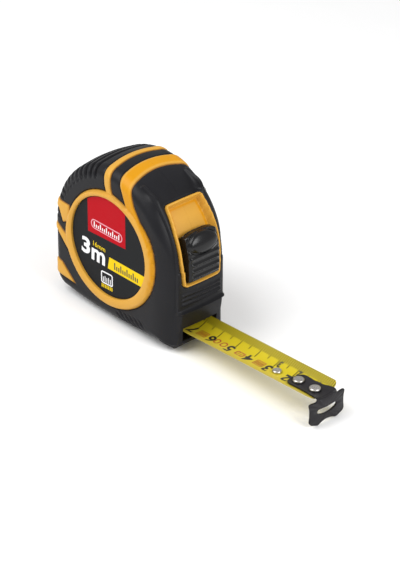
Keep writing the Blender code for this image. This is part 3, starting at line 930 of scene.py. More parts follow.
    def ribs(self, x: Array, z: Array, reach: Array, angle: Array, across: Array) -> Array:
        """Grip ribs over the rear of the crown, bars below the frame and grooves at the bottom.

        Args:
            x: bowed x of each point.
            z: height of each point.
            reach: distance from the label's centre.
            angle: angle about the label's centre, in degrees.
            across: distance from the parting plane.

        Returns:
            Height at each point, in millimetres.
        """
        turning = smooth(angle, 101.0, 105.0) * smooth(178.0 - angle, 0.0, 6.0) * smooth(reach, 27.0, 30.0)
        grip = -1.05 * turning * smooth(np.cos(np.radians(angle) * 62.0), -0.2, 0.8)
        bars = sum(0.6 * hump(z, height, 0.5) for height in (21.5, 19.7, 17.9))
        bars = bars * smooth(x, 26.0, 28.0) * smooth(10.2 - across, 0.0, 0.8)
        low = smooth(7.0 - z, 0.0, 2.0) * smooth(across, 12.0, 14.0)
        low = low * smooth(x, 3.0, 5.0) * smooth(20.0 - x, 0.0, 3.0)
        grooves = -0.5 * low * smooth(np.cos((x + 0.9 * z) * 2.3), 0.3, 0.9)
        return grip + bars + grooves


@dataclass
class CaseHalf:
    """One half of the case: the plastic shell and its rubber skin."""

    side: Side
    form: CaseForm
    heights: CaseHeights
    rubber_wall: float = 2.6
    rubber_thinning: float = 1.7  # inside the base
    plastic_wall: float = 3.1
    plastic_thinning: float = 1.5  # inside the base

    def build(self) -> None:
        """Make both skins of this half."""
        grid = self.form.surface(self.side)
        normals = self.form.normals(grid)
        self.rubber(grid, normals)
        self.plastic(grid, normals)

    def name(self) -> str:
        """The half's name, left or right."""
        return self.side.name.lower()

    def closed(
        self,
        outer: Array,
        inner: Array,
        blocks: list[tuple[int, int, int]],
    ) -> tuple[Array, Array]:
        """Join an outer and an inner grid into one closed skin, with openings cut through both.

        Args:
            outer: (stations, lines, 3) outer points.
            inner: the same for the inner side.
            blocks: openings, as first station, last station and last line.

        Returns:
            Points (n, 3) and quads (m, 4).
        """
        rows, columns = outer.shape[:2]
        number = np.arange(rows * columns).reshape(rows, columns)
        below = np.roll(number, -1, axis=0)
        open_cell = np.zeros((rows, columns - 1), dtype=bool)
        for first, last, line in blocks:
            open_cell[first:last, :line] = True
        kept = ~open_cell.ravel()
        cells = grid_faces(rows, columns, True, False)[kept]
        shift = rows * columns
        faces = [cells, cells[:, ::-1] + shift]

        def wall(start: Array, end: Array) -> Array:
            """Quads from runs of outer points to the inner points behind them."""
            return np.stack([start, end, end + shift, start + shift], axis=-1)

        for line in (0, columns - 1):
            strip = wall(number[:, line], below[:, line])
            faces.append(strip[~open_cell[:, 0]][:, ::-1] if line == 0 else strip)
        for first, last, line in blocks:
            run = np.arange(first, last)
            faces.append(wall(number[run, line], number[run + 1, line])[:, ::-1])
            row = np.arange(line)
            for station, turned in ((first, False), (last, True)):
                rim = wall(number[station, row], number[station, row + 1])
                faces.append(rim[:, ::-1] if turned else rim)
        points = np.concatenate([outer.reshape(-1, 3), inner.reshape(-1, 3)])
        return points, outward(points, np.concatenate(faces))

    def mouth(self) -> tuple[int, int, int]:
        """The opening for the blade."""
        return self.form.block(*self.form.mouth, self.form.mouth_half_width)

    def slot(self) -> tuple[int, int, int]:
        """The slot behind the lock button."""
        form = self.form
        return form.block(
            CENTRE_HEIGHT - form.slot_drop(), form.CROWN + form.slot_high, form.slot_half_width
        )

    def thin(self, grid: Array) -> Array:
        """Share of the wall that is taken away inside the base, where the blade lies."""
        return (1.0 - smooth(grid[..., 2], 2.5, 7.0)) * smooth(grid[..., 0], -14.0, -6.0)

    def rubber(self, grid: Array, normals: Array) -> None:
        """The rubber skin.

        Args:
            grid: (stations, lines, 3) points of the smooth form.
            normals: its unit normals.
        """
        height = self.heights.rubber(grid)
        outer = grid + normals * height[..., None]
        wall = self.rubber_wall - self.rubber_thinning * self.thin(grid)
        inner = grid - normals * wall[..., None]
        points, faces = self.closed(outer, inner, [self.mouth(), self.slot()])
        name, node = f"{self.name()}_grip_skin", f"{self.name()}_grip"
        make_piece(name, points, faces.tolist(), FINISHES.rubber.make(), "case", (node,))

    def plastic(self, grid: Array, normals: Array) -> None:
        """The plastic shell, with a wall that runs in under the label.

        Args:
            grid: (stations, lines, 3) points of the smooth form.
            normals: its unit normals.
        """
        height = self.heights.plastic(grid)
        outer = grid + normals * height[..., None]
        wall = self.plastic_wall - self.plastic_thinning * self.thin(grid)
        inner = grid - normals * wall[..., None]
        points, faces = self.closed(outer, inner, [self.mouth(), self.slot()])
        # both marks drive painted shade: a deeper orange, and dark gaps and covered parts along the
        # plastic's edges
        marks = {"amber": self.amber(grid), "rim": self.rim(grid)}
        doubled = {key: np.concatenate([value.ravel(), value.ravel()]) for key, value in marks.items()}
        name, node = f"{self.name()}_case_shell", f"{self.name()}_shell"
        look = FINISHES.orange.make()
        make_piece(name, points, faces.tolist(), look, "case", (node,), doubled)

    def amber(self, grid: Array) -> Array:
        """Share of painted shade that deepens the orange: most in the middle of the thick stripe, down the
        ring's front and on the frame's inner wall.

        Args:
            grid: (stations, lines, 3) points of the smooth form.

        Returns:
            0 to 1 at each point.
        """
        x, z, reach, angle = self.heights.fields(grid)
        from_edge = inside_polygon(x, z, np.array(CaseHeights.THICK))
        thick = smooth(from_edge, 0.7, 1.3) * smooth(z, 50.0, 54.0)
        front = smooth(reach, 23.2, 23.9) * smooth(angle, -40.0, -10.0) * smooth(75.0 - angle, 0.0, 12.0)
        window = self.heights.window(grid)
        wall = smooth(window, 1.9, 2.3) * (1.0 - smooth(window, 2.9, 3.3))
        return np.clip(thick + front * (np.abs(grid[..., 1]) > 14.5) + wall, 0.0, 1.0)

    def rim(self, grid: Array) -> Array:
        """Distance in from the nearest edge of the plastic."""
        heights = self.heights
        return np.maximum.reduce([heights.stripes(grid), heights.ring(grid), heights.window(grid)])


def turned(profile: Array, centre: Array, axis: int, segments: int) -> Shape:
    """A body of revolution, closed by a flat face at each end.

    Each profile point (radius, height) goes round as centre + radius (cos t, sin t) in the two
    directions across the axis, at that height along it.

    Args:
        profile: (n, 2) radii and heights along the axis.
        centre: (3,) point; its own value along the axis is ignored.
        axis: 1 for Y or 2 for Z.
        segments: steps round the axis.

    Returns:
        Points (n * segments, 3) and faces.
    """
    turn = np.linspace(0.0, 2.0 * np.pi, segments, endpoint=False)
    first, second = (0, 2) if axis == 1 else (0, 1)
    points = np.zeros((len(profile), segments, 3))
    points[..., first] = centre[first] + profile[:, :1] * np.cos(turn)
    points[..., second] = centre[second] + profile[:, :1] * np.sin(turn)
    points[..., axis] = profile[:, 1:]
    return closed_tube(points)


def closed_tube(loops: Array) -> Shape:
    """Loops of equally many points joined into a tube with a flat face at each end.

    Args:
        loops: (loops, points, 3).

    Returns:
        Points (n, 3) and faces, turned outwards.
    """
    rows, columns = loops.shape[:2]
    points = loops.reshape(-1, 3)
    quads = grid_faces(rows, columns, False, True)
    kept = outward(points - points.mean(axis=0), quads)
    turned_round = kept[0, 0] != quads[0, 0] or kept[0, 1] != quads[0, 1]
    ends = [np.arange(columns)[::-1], np.arange((rows - 1) * columns, rows * columns)]
    if turned_round:
        ends = [end[::-1] for end in ends]
    return points, kept.tolist() + [end.tolist() for end in ends]


def arc(centre: tuple[float, float], radius: float, start: float, end: float, steps: int) -> Array:
    """(steps + 1, 2) points on a circle from one angle to another, in degrees."""
    turn = np.radians(np.linspace(start, end, steps + 1))
    return np.stack([centre[0] + radius * np.cos(turn), centre[1] + radius * np.sin(turn)], axis=-1)


def round_box(
    centre: tuple[float, float], half_u: float, half_v: float, radius: float, tilt: float = 0.0
) -> Array:
    """Outline of a rounded rectangle, turned by tilt degrees about its centre.

    Args:
        centre: its middle.
        half_u: half size along the first axis.
        half_v: half size along the second.
        radius: corner radius.
        tilt: degrees to turn it by.

    Returns:
        (28, 2) points in order.
    """
    corners = ((1, 1, 0), (-1, 1, 90), (-1, -1, 180), (1, -1, 270))
    in_u, in_v = half_u - radius, half_v - radius
    parts = [arc((u * in_u, v * in_v), radius, start, start + 90, 6) for u, v, start in corners]
    flat = np.concatenate(parts)
    turn = math.radians(tilt)
    spin = np.array([[math.cos(turn), math.sin(turn)], [-math.sin(turn), math.cos(turn)]])
    return flat @ spin + np.array(centre)


def ribbon(
    path: Array, normals: Array, across: Array, half_width: Array, thickness: float, dish: Array
) -> Shape:
    """A strip of even thickness carried along a path, with a flat face at each end.

    At share t across, from -1 to 1, the middle of the strip is path + across half_width t +
    normal dish(half_width t), where dish holds the sag per square millimetre.

    Args:
        path: (n, 3) middle line.
        normals: (n, 3) unit normals of the strip.
        across: (3,) unit vector across it.
        half_width: (n,) half widths.
        thickness: of the strip.
        dish: (n,) how much it curves up towards its edges, per square millimetre.

    Returns:
        Points and faces.
    """
    share = np.linspace(-1.0, 1.0, 25)
    span = half_width[:, None] * share
    edge = np.clip((half_width[:, None] - np.abs(span)) / (0.4 * thickness), 0.0, 1.0)
    half = thickness * (0.3 + 0.2 * np.sqrt(edge))
    sag = (dish[:, None] * span**2)[..., None]
    middle = path[:, None, :] + span[..., None] * across + sag * normals[:, None, :]
    upper = middle + half[..., None] * normals[:, None, :]
    lower = middle - half[..., None] * normals[:, None, :]
    return closed_tube(np.concatenate([upper, lower[:, ::-1]], axis=1))


def figure(text: str, height: float, bold: float, cuts: int) -> Shape:
    """Figures as a thin closed body, centred on 0.

    Args:
        text: figures to draw.
        height: height of a figure in millimetres.
        bold: how far the outline is pushed out, as a share of the height.
        cuts: how many times each edge is split, for figures that bend over a surface.

    Returns:
        Points (n, 3) as (right, up, out) and faces.
    """
    curve = bpy.data.curves.new("figure", "FONT")
    curve.body = text
    curve.size = height * 1.42
    curve.offset = bold * height
    curve.extrude = 0.012
    curve.resolution_u = 5
    item = bpy.data.objects.new("figure", curve)
    bpy.context.scene.collection.objects.link(item)
    bpy.context.view_layer.update()
    mesh = bpy.data.meshes.new_from_object(item.evaluated_get(bpy.context.evaluated_depsgraph_get()))
    bpy.data.objects.remove(item, do_unlink=True)
    shape = bmesh.new()
    shape.from_mesh(mesh)
    bmesh.ops.remove_doubles(shape, verts=shape.verts, dist=1e-5)
    bmesh.ops.triangulate(shape, faces=shape.faces)
    if cuts:
        bmesh.ops.subdivide_edges(shape, edges=shape.edges, cuts=cuts, use_grid_fill=True)
    shape.to_mesh(mesh)
    shape.free()
    flat = np.zeros(len(mesh.vertices) * 3)
    mesh.vertices.foreach_get("co", flat)
    points = flat.reshape(-1, 3)
    faces = [list(face.vertices) for face in mesh.polygons]
    bpy.data.meshes.remove(mesh)
    middle = (points.max(axis=0) + points.min(axis=0)) / 2
    return points - middle, faces


def joined(parts: list[Shape]) -> Shape:
    """Several bodies as one list of points and one of faces.

    Args:
        parts: the bodies.

    Returns:
        Points and faces of all of them.
    """
    points, faces, count = [], [], 0
    for part, sides in parts:
        points.append(part)
        faces += [[number + count for number in side] for side in sides]
        count += len(part)
    return np.concatenate(points), faces


@dataclass
class Label:
    """The printed disc on the label side, and the plain one on the clip side."""

    radius: float = 20.6
    thickness: float = 0.4
    lift: float = 0.02  # between layers of print
    red_left: float = -11.7  # x of the red panel's left side
    red_right: float = 9.4  # and of its right side
    red_bottom: float = 34.0  # height of its lower side
    bar_left: tuple[tuple[float, float], ...] = ((0.2, 27.1), (-0.8, 22.0))  # the yellow bar's left corners
    bar_right: tuple[float, float] = (21.3, 26.3)  # heights of its right corners
    mark_middle: tuple[float, float] = (-1.4, 17.2)  # of the square bracket

    def build(self) -> None:
        """Make both discs and the print."""
        self.disc(Side.LEFT, "left_label")
        self.disc(Side.RIGHT, "right_label")
        self.panels()
        self.badge()
        self.size_print()
        self.pictogram()

    def disc(self, side: Side, node: str) -> None:
        """One disc with a softened rim.

        Args:
            side: which half of the case it lies on.
            node: the CAD node that it stands for.
        """
        face, soft = LABEL_FACE, 0.08
        rear = (self.radius, face - self.thickness)
        profile = np.array([rear, (self.radius, face - soft), (self.radius - soft, face)])
        profile[:, 1] *= side.value
        points, faces = turned(profile, np.array([0.0, 0.0, CENTRE_HEIGHT]), 1, 160)
        make_piece(f"{node}_disc", points, faces, FINISHES.label.make(), "case", (node,))

    def plate(self, outline: Array, level: int) -> Shape:
        """A thin plate on the disc, at one of several levels of print.

        Args:
            outline: (n, 2) corners (x, z) in order.
            level: how many layers of print it stands above the disc.

        Returns:
            Points and faces.
        """
        rear = -LABEL_FACE + 0.05
        front = -LABEL_FACE - self.lift * level
        flat = [(outline[:, 0], np.full(len(outline), y), outline[:, 1]) for y in (rear, front)]
        loops = [np.stack(loop, axis=-1) for loop in flat]
        return closed_tube(np.stack(loops))

    def words(
        self,
        text: str,
        height: float,
        bold: float,
        middle: tuple[float, float],
        tilt: float,
        level: int,
        wide: float = 1.0,
    ) -> Shape:
        """Figures laid on the disc, drawn wide times their usual width.

        Args:
            text: figures to draw.
            height: of a figure, in millimetres.
            bold: how far its outline is pushed out, as a share of the height.
            middle: (x, z) of the middle.
            tilt: degrees to turn it by.
            level: how many layers of print it stands above the disc.
            wide: stretch along the line.

        Returns:
            Points and faces.
        """
        flat, faces = figure(text, height, bold, 0)
        flat[:, 0] *= wide
        turn = math.radians(tilt)
        x = middle[0] + flat[:, 0] * math.cos(turn) - flat[:, 1] * math.sin(turn)
        z = middle[1] + flat[:, 0] * math.sin(turn) + flat[:, 1] * math.cos(turn)
        y = -LABEL_FACE - self.lift * level - flat[:, 2]
        return np.stack([x, y, z], axis=-1), faces

    def put(self, name: str, parts: list[Shape], finish: Finish) -> None:
        """Join printed parts into one piece."""
        points, faces = joined(parts)
        make_piece(name, points, faces, finish.make(), "case")

    def panels(self) -> None:
        """The red panel at the top and the yellow bar at the right."""
        edge = self.radius - 0.25
        centre = (0.0, CENTRE_HEIGHT)
        right = math.degrees(math.acos(self.red_right / edge))
        left = math.degrees(math.acos(self.red_left / edge))
        base = [(self.red_left, self.red_bottom), (self.red_right, self.red_bottom)]
        panel = np.concatenate([base, arc(centre, edge, right, left, 24)])
        self.put("label_red_panel", [self.plate(panel, 1)], FINISHES.red)
        low, high = (math.degrees(math.asin((z - CENTRE_HEIGHT) / edge)) for z in self.bar_right)
        bar = np.concatenate([self.bar_left, arc(centre, edge, low, high, 8)])
        self.put("label_yellow_bar", [self.plate(bar, 1)], FINISHES.yellow)
        ticks = []
        for number in range(12):
            tall = 1.5 if number % 3 == 0 else 0.9
            x = 3.2 + 1.15 * number
            ticks.append(self.plate(round_box((x, 22.9 - 0.04 * x + tall), 0.3, tall, 0.05), 2))
        self.put("label_bar_ticks", ticks, FINISHES.ink)

    def badge(self) -> None:
        """A plain rule in outline on the red panel."""
        centre, tilt = (-1.1, 37.9), -2.5
        outline = self.plate(round_box(centre, 8.8, 2.0, 1.9, tilt), 2)
        ground = self.plate(round_box(centre, 8.3, 1.5, 1.4, tilt), 3)
        self.put("label_rule_outline", [outline], FINISHES.pink)
        self.put("label_rule_ground", [ground], FINISHES.red)
        slope = math.tan(math.radians(tilt))
        ticks = []
        for number in range(13):
            tall = 1.15 if number % 3 == 0 else 0.65
            x = centre[0] - 6.9 + 1.15 * number
            z = centre[1] + (x - centre[0]) * slope - 1.2 + tall
            ticks.append(self.plate(round_box((x, z), 0.26, tall, 0.05, tilt), 4))
        self.put("label_rule_ticks", ticks, FINISHES.white)

    def size_print(self) -> None:
        """The length in metres and the blade's width in millimetres."""
        length = [
            self.words("3", 6.4, 0.05, (-13.1, 27.2), -3.0, 1, 1.2),
            self.words("m", 7.0, 0.04, (-6.1, 24.9), -3.0, 1, 1.08),
        ]
        self.put("label_length_print", length, FINISHES.white)
        width = [self.words("16mm", 2.1, 0.01, (-5.5, 29.5), -4.0, 1)]
        self.put("label_width_print", width, FINISHES.yellow)

    def pictogram(self) -> None:
        """A square bracket over a short scale."""
        outline = self.plate(round_box(self.mark_middle, 3.3, 2.6, 0.9), 1)
        ground = self.plate(round_box(self.mark_middle, 2.75, 2.05, 0.5), 2)
        self.put("label_mark_outline", [outline], FINISHES.white)
        self.put("label_mark_ground", [ground], FINISHES.label)
        bars = []
        for number in range(5):
            taller = 0.25 * (number % 2)
            bar = round_box((-3.4 + 1.0 * number, 16.4 + taller), 0.2, 1.0 + taller, 0.05)
            bars.append(self.plate(bar, 3))
        self.put("label_mark_bars", bars, FINISHES.white)
        ticks = [self.plate(round_box((-4.2 + 0.93 * n, 13.5), 0.28, 0.8, 0.1), 1) for n in range(7)]
        self.put("label_mark_ticks", ticks, FINISHES.yellow)


@dataclass
class LockButton:
    """The thumb button: an oval pad above a ribbed skirt, on an arc about the label's centre."""

    half_width: float = 7.8
    low: float = -7.2  # degrees about the label's centre
    high: float = 25.0  # the same for the upper end
    floor: float = 32.3  # radius of the underside
    skirt: float = 36.7  # radius of the ribbed top

    def build(self) -> None:
        """Make the button.

        Each cross-section is a closed loop: up one side, over the top, down the other side and
        back along the underside, where the top's radius is the function in radius_at.
        """
        rows = np.linspace(self.low, self.high, 130)[:, None]
        across = np.sin(np.linspace(-np.pi / 2, np.pi / 2, 61))[None, :] * self.half_width
        top = self.radius_at(rows, across)
        sides = np.linspace(0.0, 1.0, 6)[1:-1]
        left = self.floor + (top[:, :1] - self.floor) * sides
        right = self.floor + (top[:, -1:] - self.floor) * sides[::-1]
        under = np.full((len(rows), 2), self.floor)
        radii = np.concatenate([left, top, right, under], axis=1)
        flank = np.full(len(sides), self.half_width)
        width = np.concatenate([-flank, across[0], flank, [self.half_width, -self.half_width]])
        share = (rows - self.low) / (self.high - self.low)
        turn = np.radians(rows - 2.4 * share**4 * (width / self.half_width) ** 4)
        spread = np.broadcast_to(width, radii.shape)
        loops = np.stack([radii * np.cos(turn), spread, CENTRE_HEIGHT + radii * np.sin(turn)], axis=-1)
        points, faces = closed_tube(loops)
        look = FINISHES.button.make()
        make_piece("lock_button_cap", points, faces, look, "lock", ("lock_button",))

    def radius_at(self, angle: Array, across: Array) -> Array:
        """Radius of the top: skirt, oval dome with a groove round it, lip, ribs and rounded edges.

        Args:
            angle: degrees about the label's centre.
            across: distance from the parting plane.

        Returns:
            Radius at each point, in millimetres.
        """
        oval = np.sqrt(((angle - 16.9) / 6.3) ** 2 + (across / 7.0) ** 2)
        dome = 1.5 * np.sqrt(np.clip(1.0 - oval**2, 0.0, 1.0)) - 0.4 * hump(oval, 1.08, 0.09)
        lip = 0.5 * hump(angle, 8.6, 1.3)
        ribs = sum(0.5 * hump(angle, place, 0.9) for place in (4.6, 0.6, -3.4))
        rim = -0.7 * smooth(np.abs(across), 6.5, self.half_width) ** 2
        ends = -2.4 * smooth(angle, 22.6, self.high) ** 2 - 1.0 * smooth(-angle, 5.0, -self.low) ** 2
        shoulder = 0.4 * smooth(angle, 9.0, 12.0)
        ribs = ribs * smooth(7.4 - np.abs(across), 0.0, 0.8)
        return self.skirt + dome + lip + ribs + rim + ends + shoulder


@dataclass
class Blade:
    """The dished blade with its printed figures."""

    edge: float = 5.45  # height of both edges
    trough: float = 2.35  # height of the middle line
    half_width: float = 7.9
    thickness: float = 0.2
    start: float = 2.0  # of the straight run, inside the case
    end: float = 98.8
    chamfer: float = 1.8  # size of the end's cut corners
    travel: float = 65.2  # how far it draws in

    def dish(self) -> float:
        """Rise of the surface per square millimetre from the middle line."""
        return (self.edge - self.trough) / self.half_width**2

    def build(self) -> None:
        """Make the strip and its print, all of which draws in with the blade."""
        self.strip()
        marks = {number: SCALE_ZERO - 10.0 * number for number in range(1, 8)}
        figures = [self.printed(str(n), 4.7, 0.04, marks[n] - 0.7, -0.9) for n in range(2, 8)]
        figures += [self.printed(str(n), 2.7, 0.05, marks[n] + 1.4, 3.8) for n in range(1, 4)]
        self.put("blade_figures", figures, FINISHES.ink)
        self.generic_marks()

    def strip(self) -> None:
        """The steel strip, its far corners cut off."""
        x = np.concatenate([np.linspace(self.start, 95.0, 60), np.linspace(95.0, self.end, 16)[1:]])
        cut = np.clip((x - self.end + self.chamfer) / self.chamfer, 0.0, 1.0)
        half = self.half_width - self.chamfer * (1.0 - np.sqrt(1.0 - 0.96 * cut**2)) - 0.2 * cut
        path = np.stack([x, 0.0 * x, np.full(len(x), self.trough - self.thickness / 2)], axis=-1)
        normals = np.broadcast_to([0.0, 0.0, 1.0], path.shape)
        dish = np.full(len(x), self.dish())
        points, faces = ribbon(path, normals, np.array([0.0, 1.0, 0.0]), half, self.thickness, dish)
        look = FINISHES.blade.make()
        self.draw_in(make_piece("blade_strip", points, faces, look, "blade", ("blade",)))

    def draw_in(self, piece: bpy.types.Object) -> None:
        """Give a piece that lies along the blade a mesh of its own.

        Args:
            piece: a piece that lies along the blade.
        """
        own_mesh(piece)

    def on_surface(self, x: Array, y: Array, lift: Array | float) -> Array:
        """Points at height lift above the blade's upper face."""
        return np.stack([x, y, self.trough + self.dish() * y**2 + lift], axis=-1)

    def printed(self, text: str, height: float, bold: float, x: float, y: float) -> Shape:
        """Figures that read from the far side, with their tops towards the label side."""
        flat, faces = figure(text, height, bold, 2)
        return self.on_surface(x - flat[:, 0], y - flat[:, 1], flat[:, 2] + 0.03), faces

    def outline_box(
        self, x: float, y: float, half_x: float, half_y: float, line: float, radius: float
    ) -> Shape:
        """A printed outline: a closed band between two rounded rectangles, a little above the face.

        Args:
            x: place along the blade.
            y: place across it.
            half_x: half size along the blade.
            half_y: half size across it.
            line: width of the line.
            radius: corner radius.

        Returns:
            Points and faces.
        """
        outer = round_box((x, y), half_x, half_y, radius)
        inner = round_box((x, y), half_x - line, half_y - line, max(radius - line, 0.05))
        loops = [(outer, 0.0), (outer, 0.025), (inner, 0.025), (inner, 0.0)]
        grid = np.stack([self.on_surface(loop[:, 0], loop[:, 1], lift) for loop, lift in loops])
        points = grid.reshape(-1, 3)
        faces = outward(points - points.mean(axis=0), grid_faces(len(loops), grid.shape[1], True, True))
        return points, faces.tolist()

    def generic_marks(self) -> None:
        """Red boxes and ovals between the figures."""
        boxes = [self.outline_box(x, -0.4, 2.3, 1.8, 0.3, 0.3) for x in (66.0, 35.7)]
        sizes = ((56.0, 2.1), (54.7, 0.9), (57.3, 0.9))
        ovals = [self.outline_box(x, -0.7, half, 1.5, 0.3, half - 0.05) for x, half in sizes]
        places = [start + 0.9 * number for start in (64.6, 34.3) for number in range(4)]
        bars = [self.outline_box(x, -0.4, 0.25, 1.2, 0.2, 0.1) for x in places]
        rings = [
            self.outline_box(x, -0.3, half, 1.7, 0.5, half - 0.1)
            for x, half in ((46.9, 1.4), (43.4, 1.2))
        ]
        self.put("blade_red_marks", boxes + ovals + bars + rings, FINISHES.red_ink)

    def put(self, name: str, parts: list[Shape], finish: Finish) -> None:
        """Join printed parts into one piece that draws in with the blade."""
        points, faces = joined(parts)
        self.draw_in(make_piece(name, points, faces, finish.make(), "blade"))


@dataclass
class Hook:
    """The end hook with its rivets."""

    face: float = 100.0  # x of the plate's rear face
    thickness: float = 0.9  # of the plate
    strap_start: float = 82.2
    strap_thickness: float = 0.6
    bend_start: float = 99.6
    bend_radius: float = 0.85
    middle: float = -2.1  # height of the plate's middle, inside the slot

    # Half outlines (y, z) of the plate and of the slot in it.
    OUTLINE = (
        (0.0, 3.2), (4.6, 3.5), (5.4, 2.6), (7.6, 2.9), (8.9, 3.1), (9.2, 2.5), (8.6, 0.3),
        (8.6, -2.6), (8.9, -4.9), (8.1, -6.0), (4.8, -7.3), (2.4, -6.3), (0.0, -6.0),
    )
    SLOT = (
        (0.0, -1.05), (2.6, -0.85), (4.1, -0.6), (4.9, -1.1), (5.0, -1.9), (4.2, -2.6), (2.4, -3.2),
        (0.0, -3.45),
    )

    # Each rivet's node, place along the blade, height of its seat and radius of its head.
    RIVETS = (
        ("hook_rivet_rear", 86.1, 3.65, 2.25),
        ("hook_rivet_front", 94.5, 3.65, 2.25),
        ("stop_rivet", 74.9, 2.65, 1.85),
    )

    def build(self) -> None:
        """Make strap, plate and rivets."""
        points, faces = joined([self.strap(), self.plate()])
        look = FINISHES.hook.make()
        make_piece("end_hook", points, faces, look, "hook", ("hook",), crease=50.0)
        for rivet in self.RIVETS:
            self.rivet(*rivet)

    def reach(self, corners: tuple, turn: Array) -> Array:
        """Distance from the plate's middle to a mirrored outline, at every angle.

        The corners are rounded by averaging the distance over neighbouring angles.

        Args:
            corners: half outline (y, z), from the top down to the foot.
            turn: angles about the middle, in radians.

        Returns:
            Distance at each angle.
        """
        half = np.array(corners)
        full = np.concatenate([half, half[-2:0:-1] * [-1.0, 1.0]])
        sides = zip(full, np.roll(full, -1, axis=0))
        fine = np.concatenate([np.linspace(start, end, 24, endpoint=False) for start, end in sides])
        angle = np.arctan2(fine[:, 1] - self.middle, fine[:, 0])
        reach = np.hypot(fine[:, 0], fine[:, 1] - self.middle)
        order = np.argsort(angle)
        sharp = np.interp(turn, angle[order], reach[order], period=2.0 * np.pi)
        return sum(np.roll(sharp, shift) for shift in (-2, -1, 0, 1, 2)) / 5.0

    def plate(self) -> Shape:
        """The slotted plate: rows run from the slot over the front to the rim and back behind.

        Returns:
            Points and faces.
        """
        turn = np.linspace(-np.pi, np.pi, 260, endpoint=False)
        outer, inner = self.reach(self.OUTLINE, turn), self.reach(self.SLOT, turn)
        soft, front, back = 0.15, self.face + self.thickness, self.face
        rows = [
            (inner, front - soft),
            (inner + soft, front),
            (outer - soft, front),
            (outer, front - soft),
            (outer, back + soft),
            (outer - soft, back),
            (inner + soft, back),
            (inner, back + soft),
        ]
        reach, x = (
            np.stack([np.broadcast_to(row[part], turn.shape) for row in rows]) for part in (0, 1)
        )
        grid = np.stack([x, reach * np.cos(turn), self.middle + reach * np.sin(turn)], axis=-1)
        points = grid.reshape(-1, 3)
        faces = outward(points - points.mean(axis=0), grid_faces(len(rows), len(turn), True, True))
        return points, faces.tolist()

    def strap(self) -> Shape:
        """The strap along the trough, rounded at its rear, waisted, and bent down into the plate.

        Returns:
            Points and faces.
        """
        blade = Blade()
        start, radius = self.bend_start, self.bend_radius
        run = np.linspace(self.strap_start, start, 60)
        turn = np.linspace(0.0, np.pi / 2, 12)[1:]
        level = blade.trough + 0.25 + self.strap_thickness / 2
        x = np.concatenate([run, start + radius * np.sin(turn), [start + radius]])
        down = level - radius * (1.0 - np.cos(turn))
        z = np.concatenate([np.full(len(run), level), down, [level - radius - 0.8]])
        tilt = np.concatenate([np.zeros(len(run)), turn, [np.pi / 2]])
        normals = np.stack([np.sin(tilt), 0.0 * tilt, np.cos(tilt)], axis=-1)
        into_nose = np.clip((self.strap_start + 3.6 - x) / 3.62, 0.0, 1.0)
        nose = np.sqrt(np.clip(1.0 - into_nose**2, 0.01, 1.0))
        width = (4.25 - 0.2 * hump(x, 90.5, 2.0) + 0.8 * smooth(x, 94.0, 99.0)) * nose
        dish = blade.dish() * np.cos(tilt) ** 2
        path = np.stack([x, 0.0 * x, z], axis=-1)
        return ribbon(path, normals, np.array([0.0, 1.0, 0.0]), width, self.strap_thickness, dish)

    def rivet(self, name: str, x: float, seat: float, head: float) -> None:
        """A rivet: a shank, a shallow domed head and a small dimple in its top.

        Args:
            name: the CAD node that it stands for.
            x: place along the blade.
            seat: height of the underside of its head.
            head: radius of its head.
        """
        turn = np.linspace(0.0, np.pi / 2, 10)
        dome = np.stack(
            [head * 0.72 + head * 0.28 * np.cos(turn), seat + 0.2 + 0.6 * np.sin(turn)], axis=-1
        )
        shank = [(1.15, 2.2), (1.15, seat), (head, seat)]
        dimple = [(head * 0.3, seat + 0.86), (head * 0.2, seat + 0.74), (0.1, seat + 0.7)]
        profile = np.concatenate([shank, dome, dimple])
        points, faces = turned(profile, np.array([x, 0.0, 0.0]), 2, 48)
        look = FINISHES.rivet.make()
        make_piece(f"{name}_head", points, faces, look, "blade", (name,), crease=50.0)


@dataclass
class BeltClip:
    """The spring clip on the far side."""

    half_width: float = 6.0
    thickness: float = 0.8
    inner: float = 15.8  # distance from the parting plane of the face on the case
    outer: float = 22.4  # and of the outer face
    top: float = 48.0  # height where the bend begins
    root: float = 22.0  # height where the inner run ends
    foot: float = 9.0  # height where the outer run ends
    flare_height: float = 4.0
    flare_out: float = 1.2

    def build(self) -> None:
        """Carry the strip up the case, round the bend and down to its flared foot."""
        half = self.thickness / 2
        middle, radius = (self.inner + self.outer) / 2, (self.outer - self.inner) / 2 - half
        rise = np.stack([np.full(20, self.inner + half), np.linspace(self.root, self.top, 20)], axis=-1)
        bend = arc((middle, self.top), radius, 180, 0, 24)
        levels = np.linspace(self.top, self.foot + self.flare_height, 25)[1:]
        hang = np.stack([np.full(24, self.outer - half), levels], axis=-1)
        drop = np.linspace(0.0, 1.0, 9)[1:]
        out = self.outer - half + self.flare_out * drop**1.5
        flare = np.stack([out, self.foot + self.flare_height * (1.0 - drop)], axis=-1)
        flat = np.concatenate([rise, bend[1:], hang, flare])
        along = np.gradient(flat, axis=0)
        along /= np.linalg.norm(along, axis=1, keepdims=True)
        path = np.stack([0.0 * flat[:, 0], flat[:, 0], flat[:, 1]], axis=-1)
        normals = np.stack([0.0 * along[:, 0], -along[:, 1], along[:, 0]], axis=-1)
        ends = np.minimum(np.arange(len(flat)), np.arange(len(flat))[::-1])
        width = self.half_width - 1.4 * (1.0 - smooth(ends.astype(float), 0.0, 5.0))
        across = np.array([1.0, 0.0, 0.0])
        points, faces = ribbon(path, normals, across, width, self.thickness, 0.0 * width)
        look = FINISHES.spring.make()
        make_piece("spring_clip", points, faces, look, "case", ("belt_clip",))


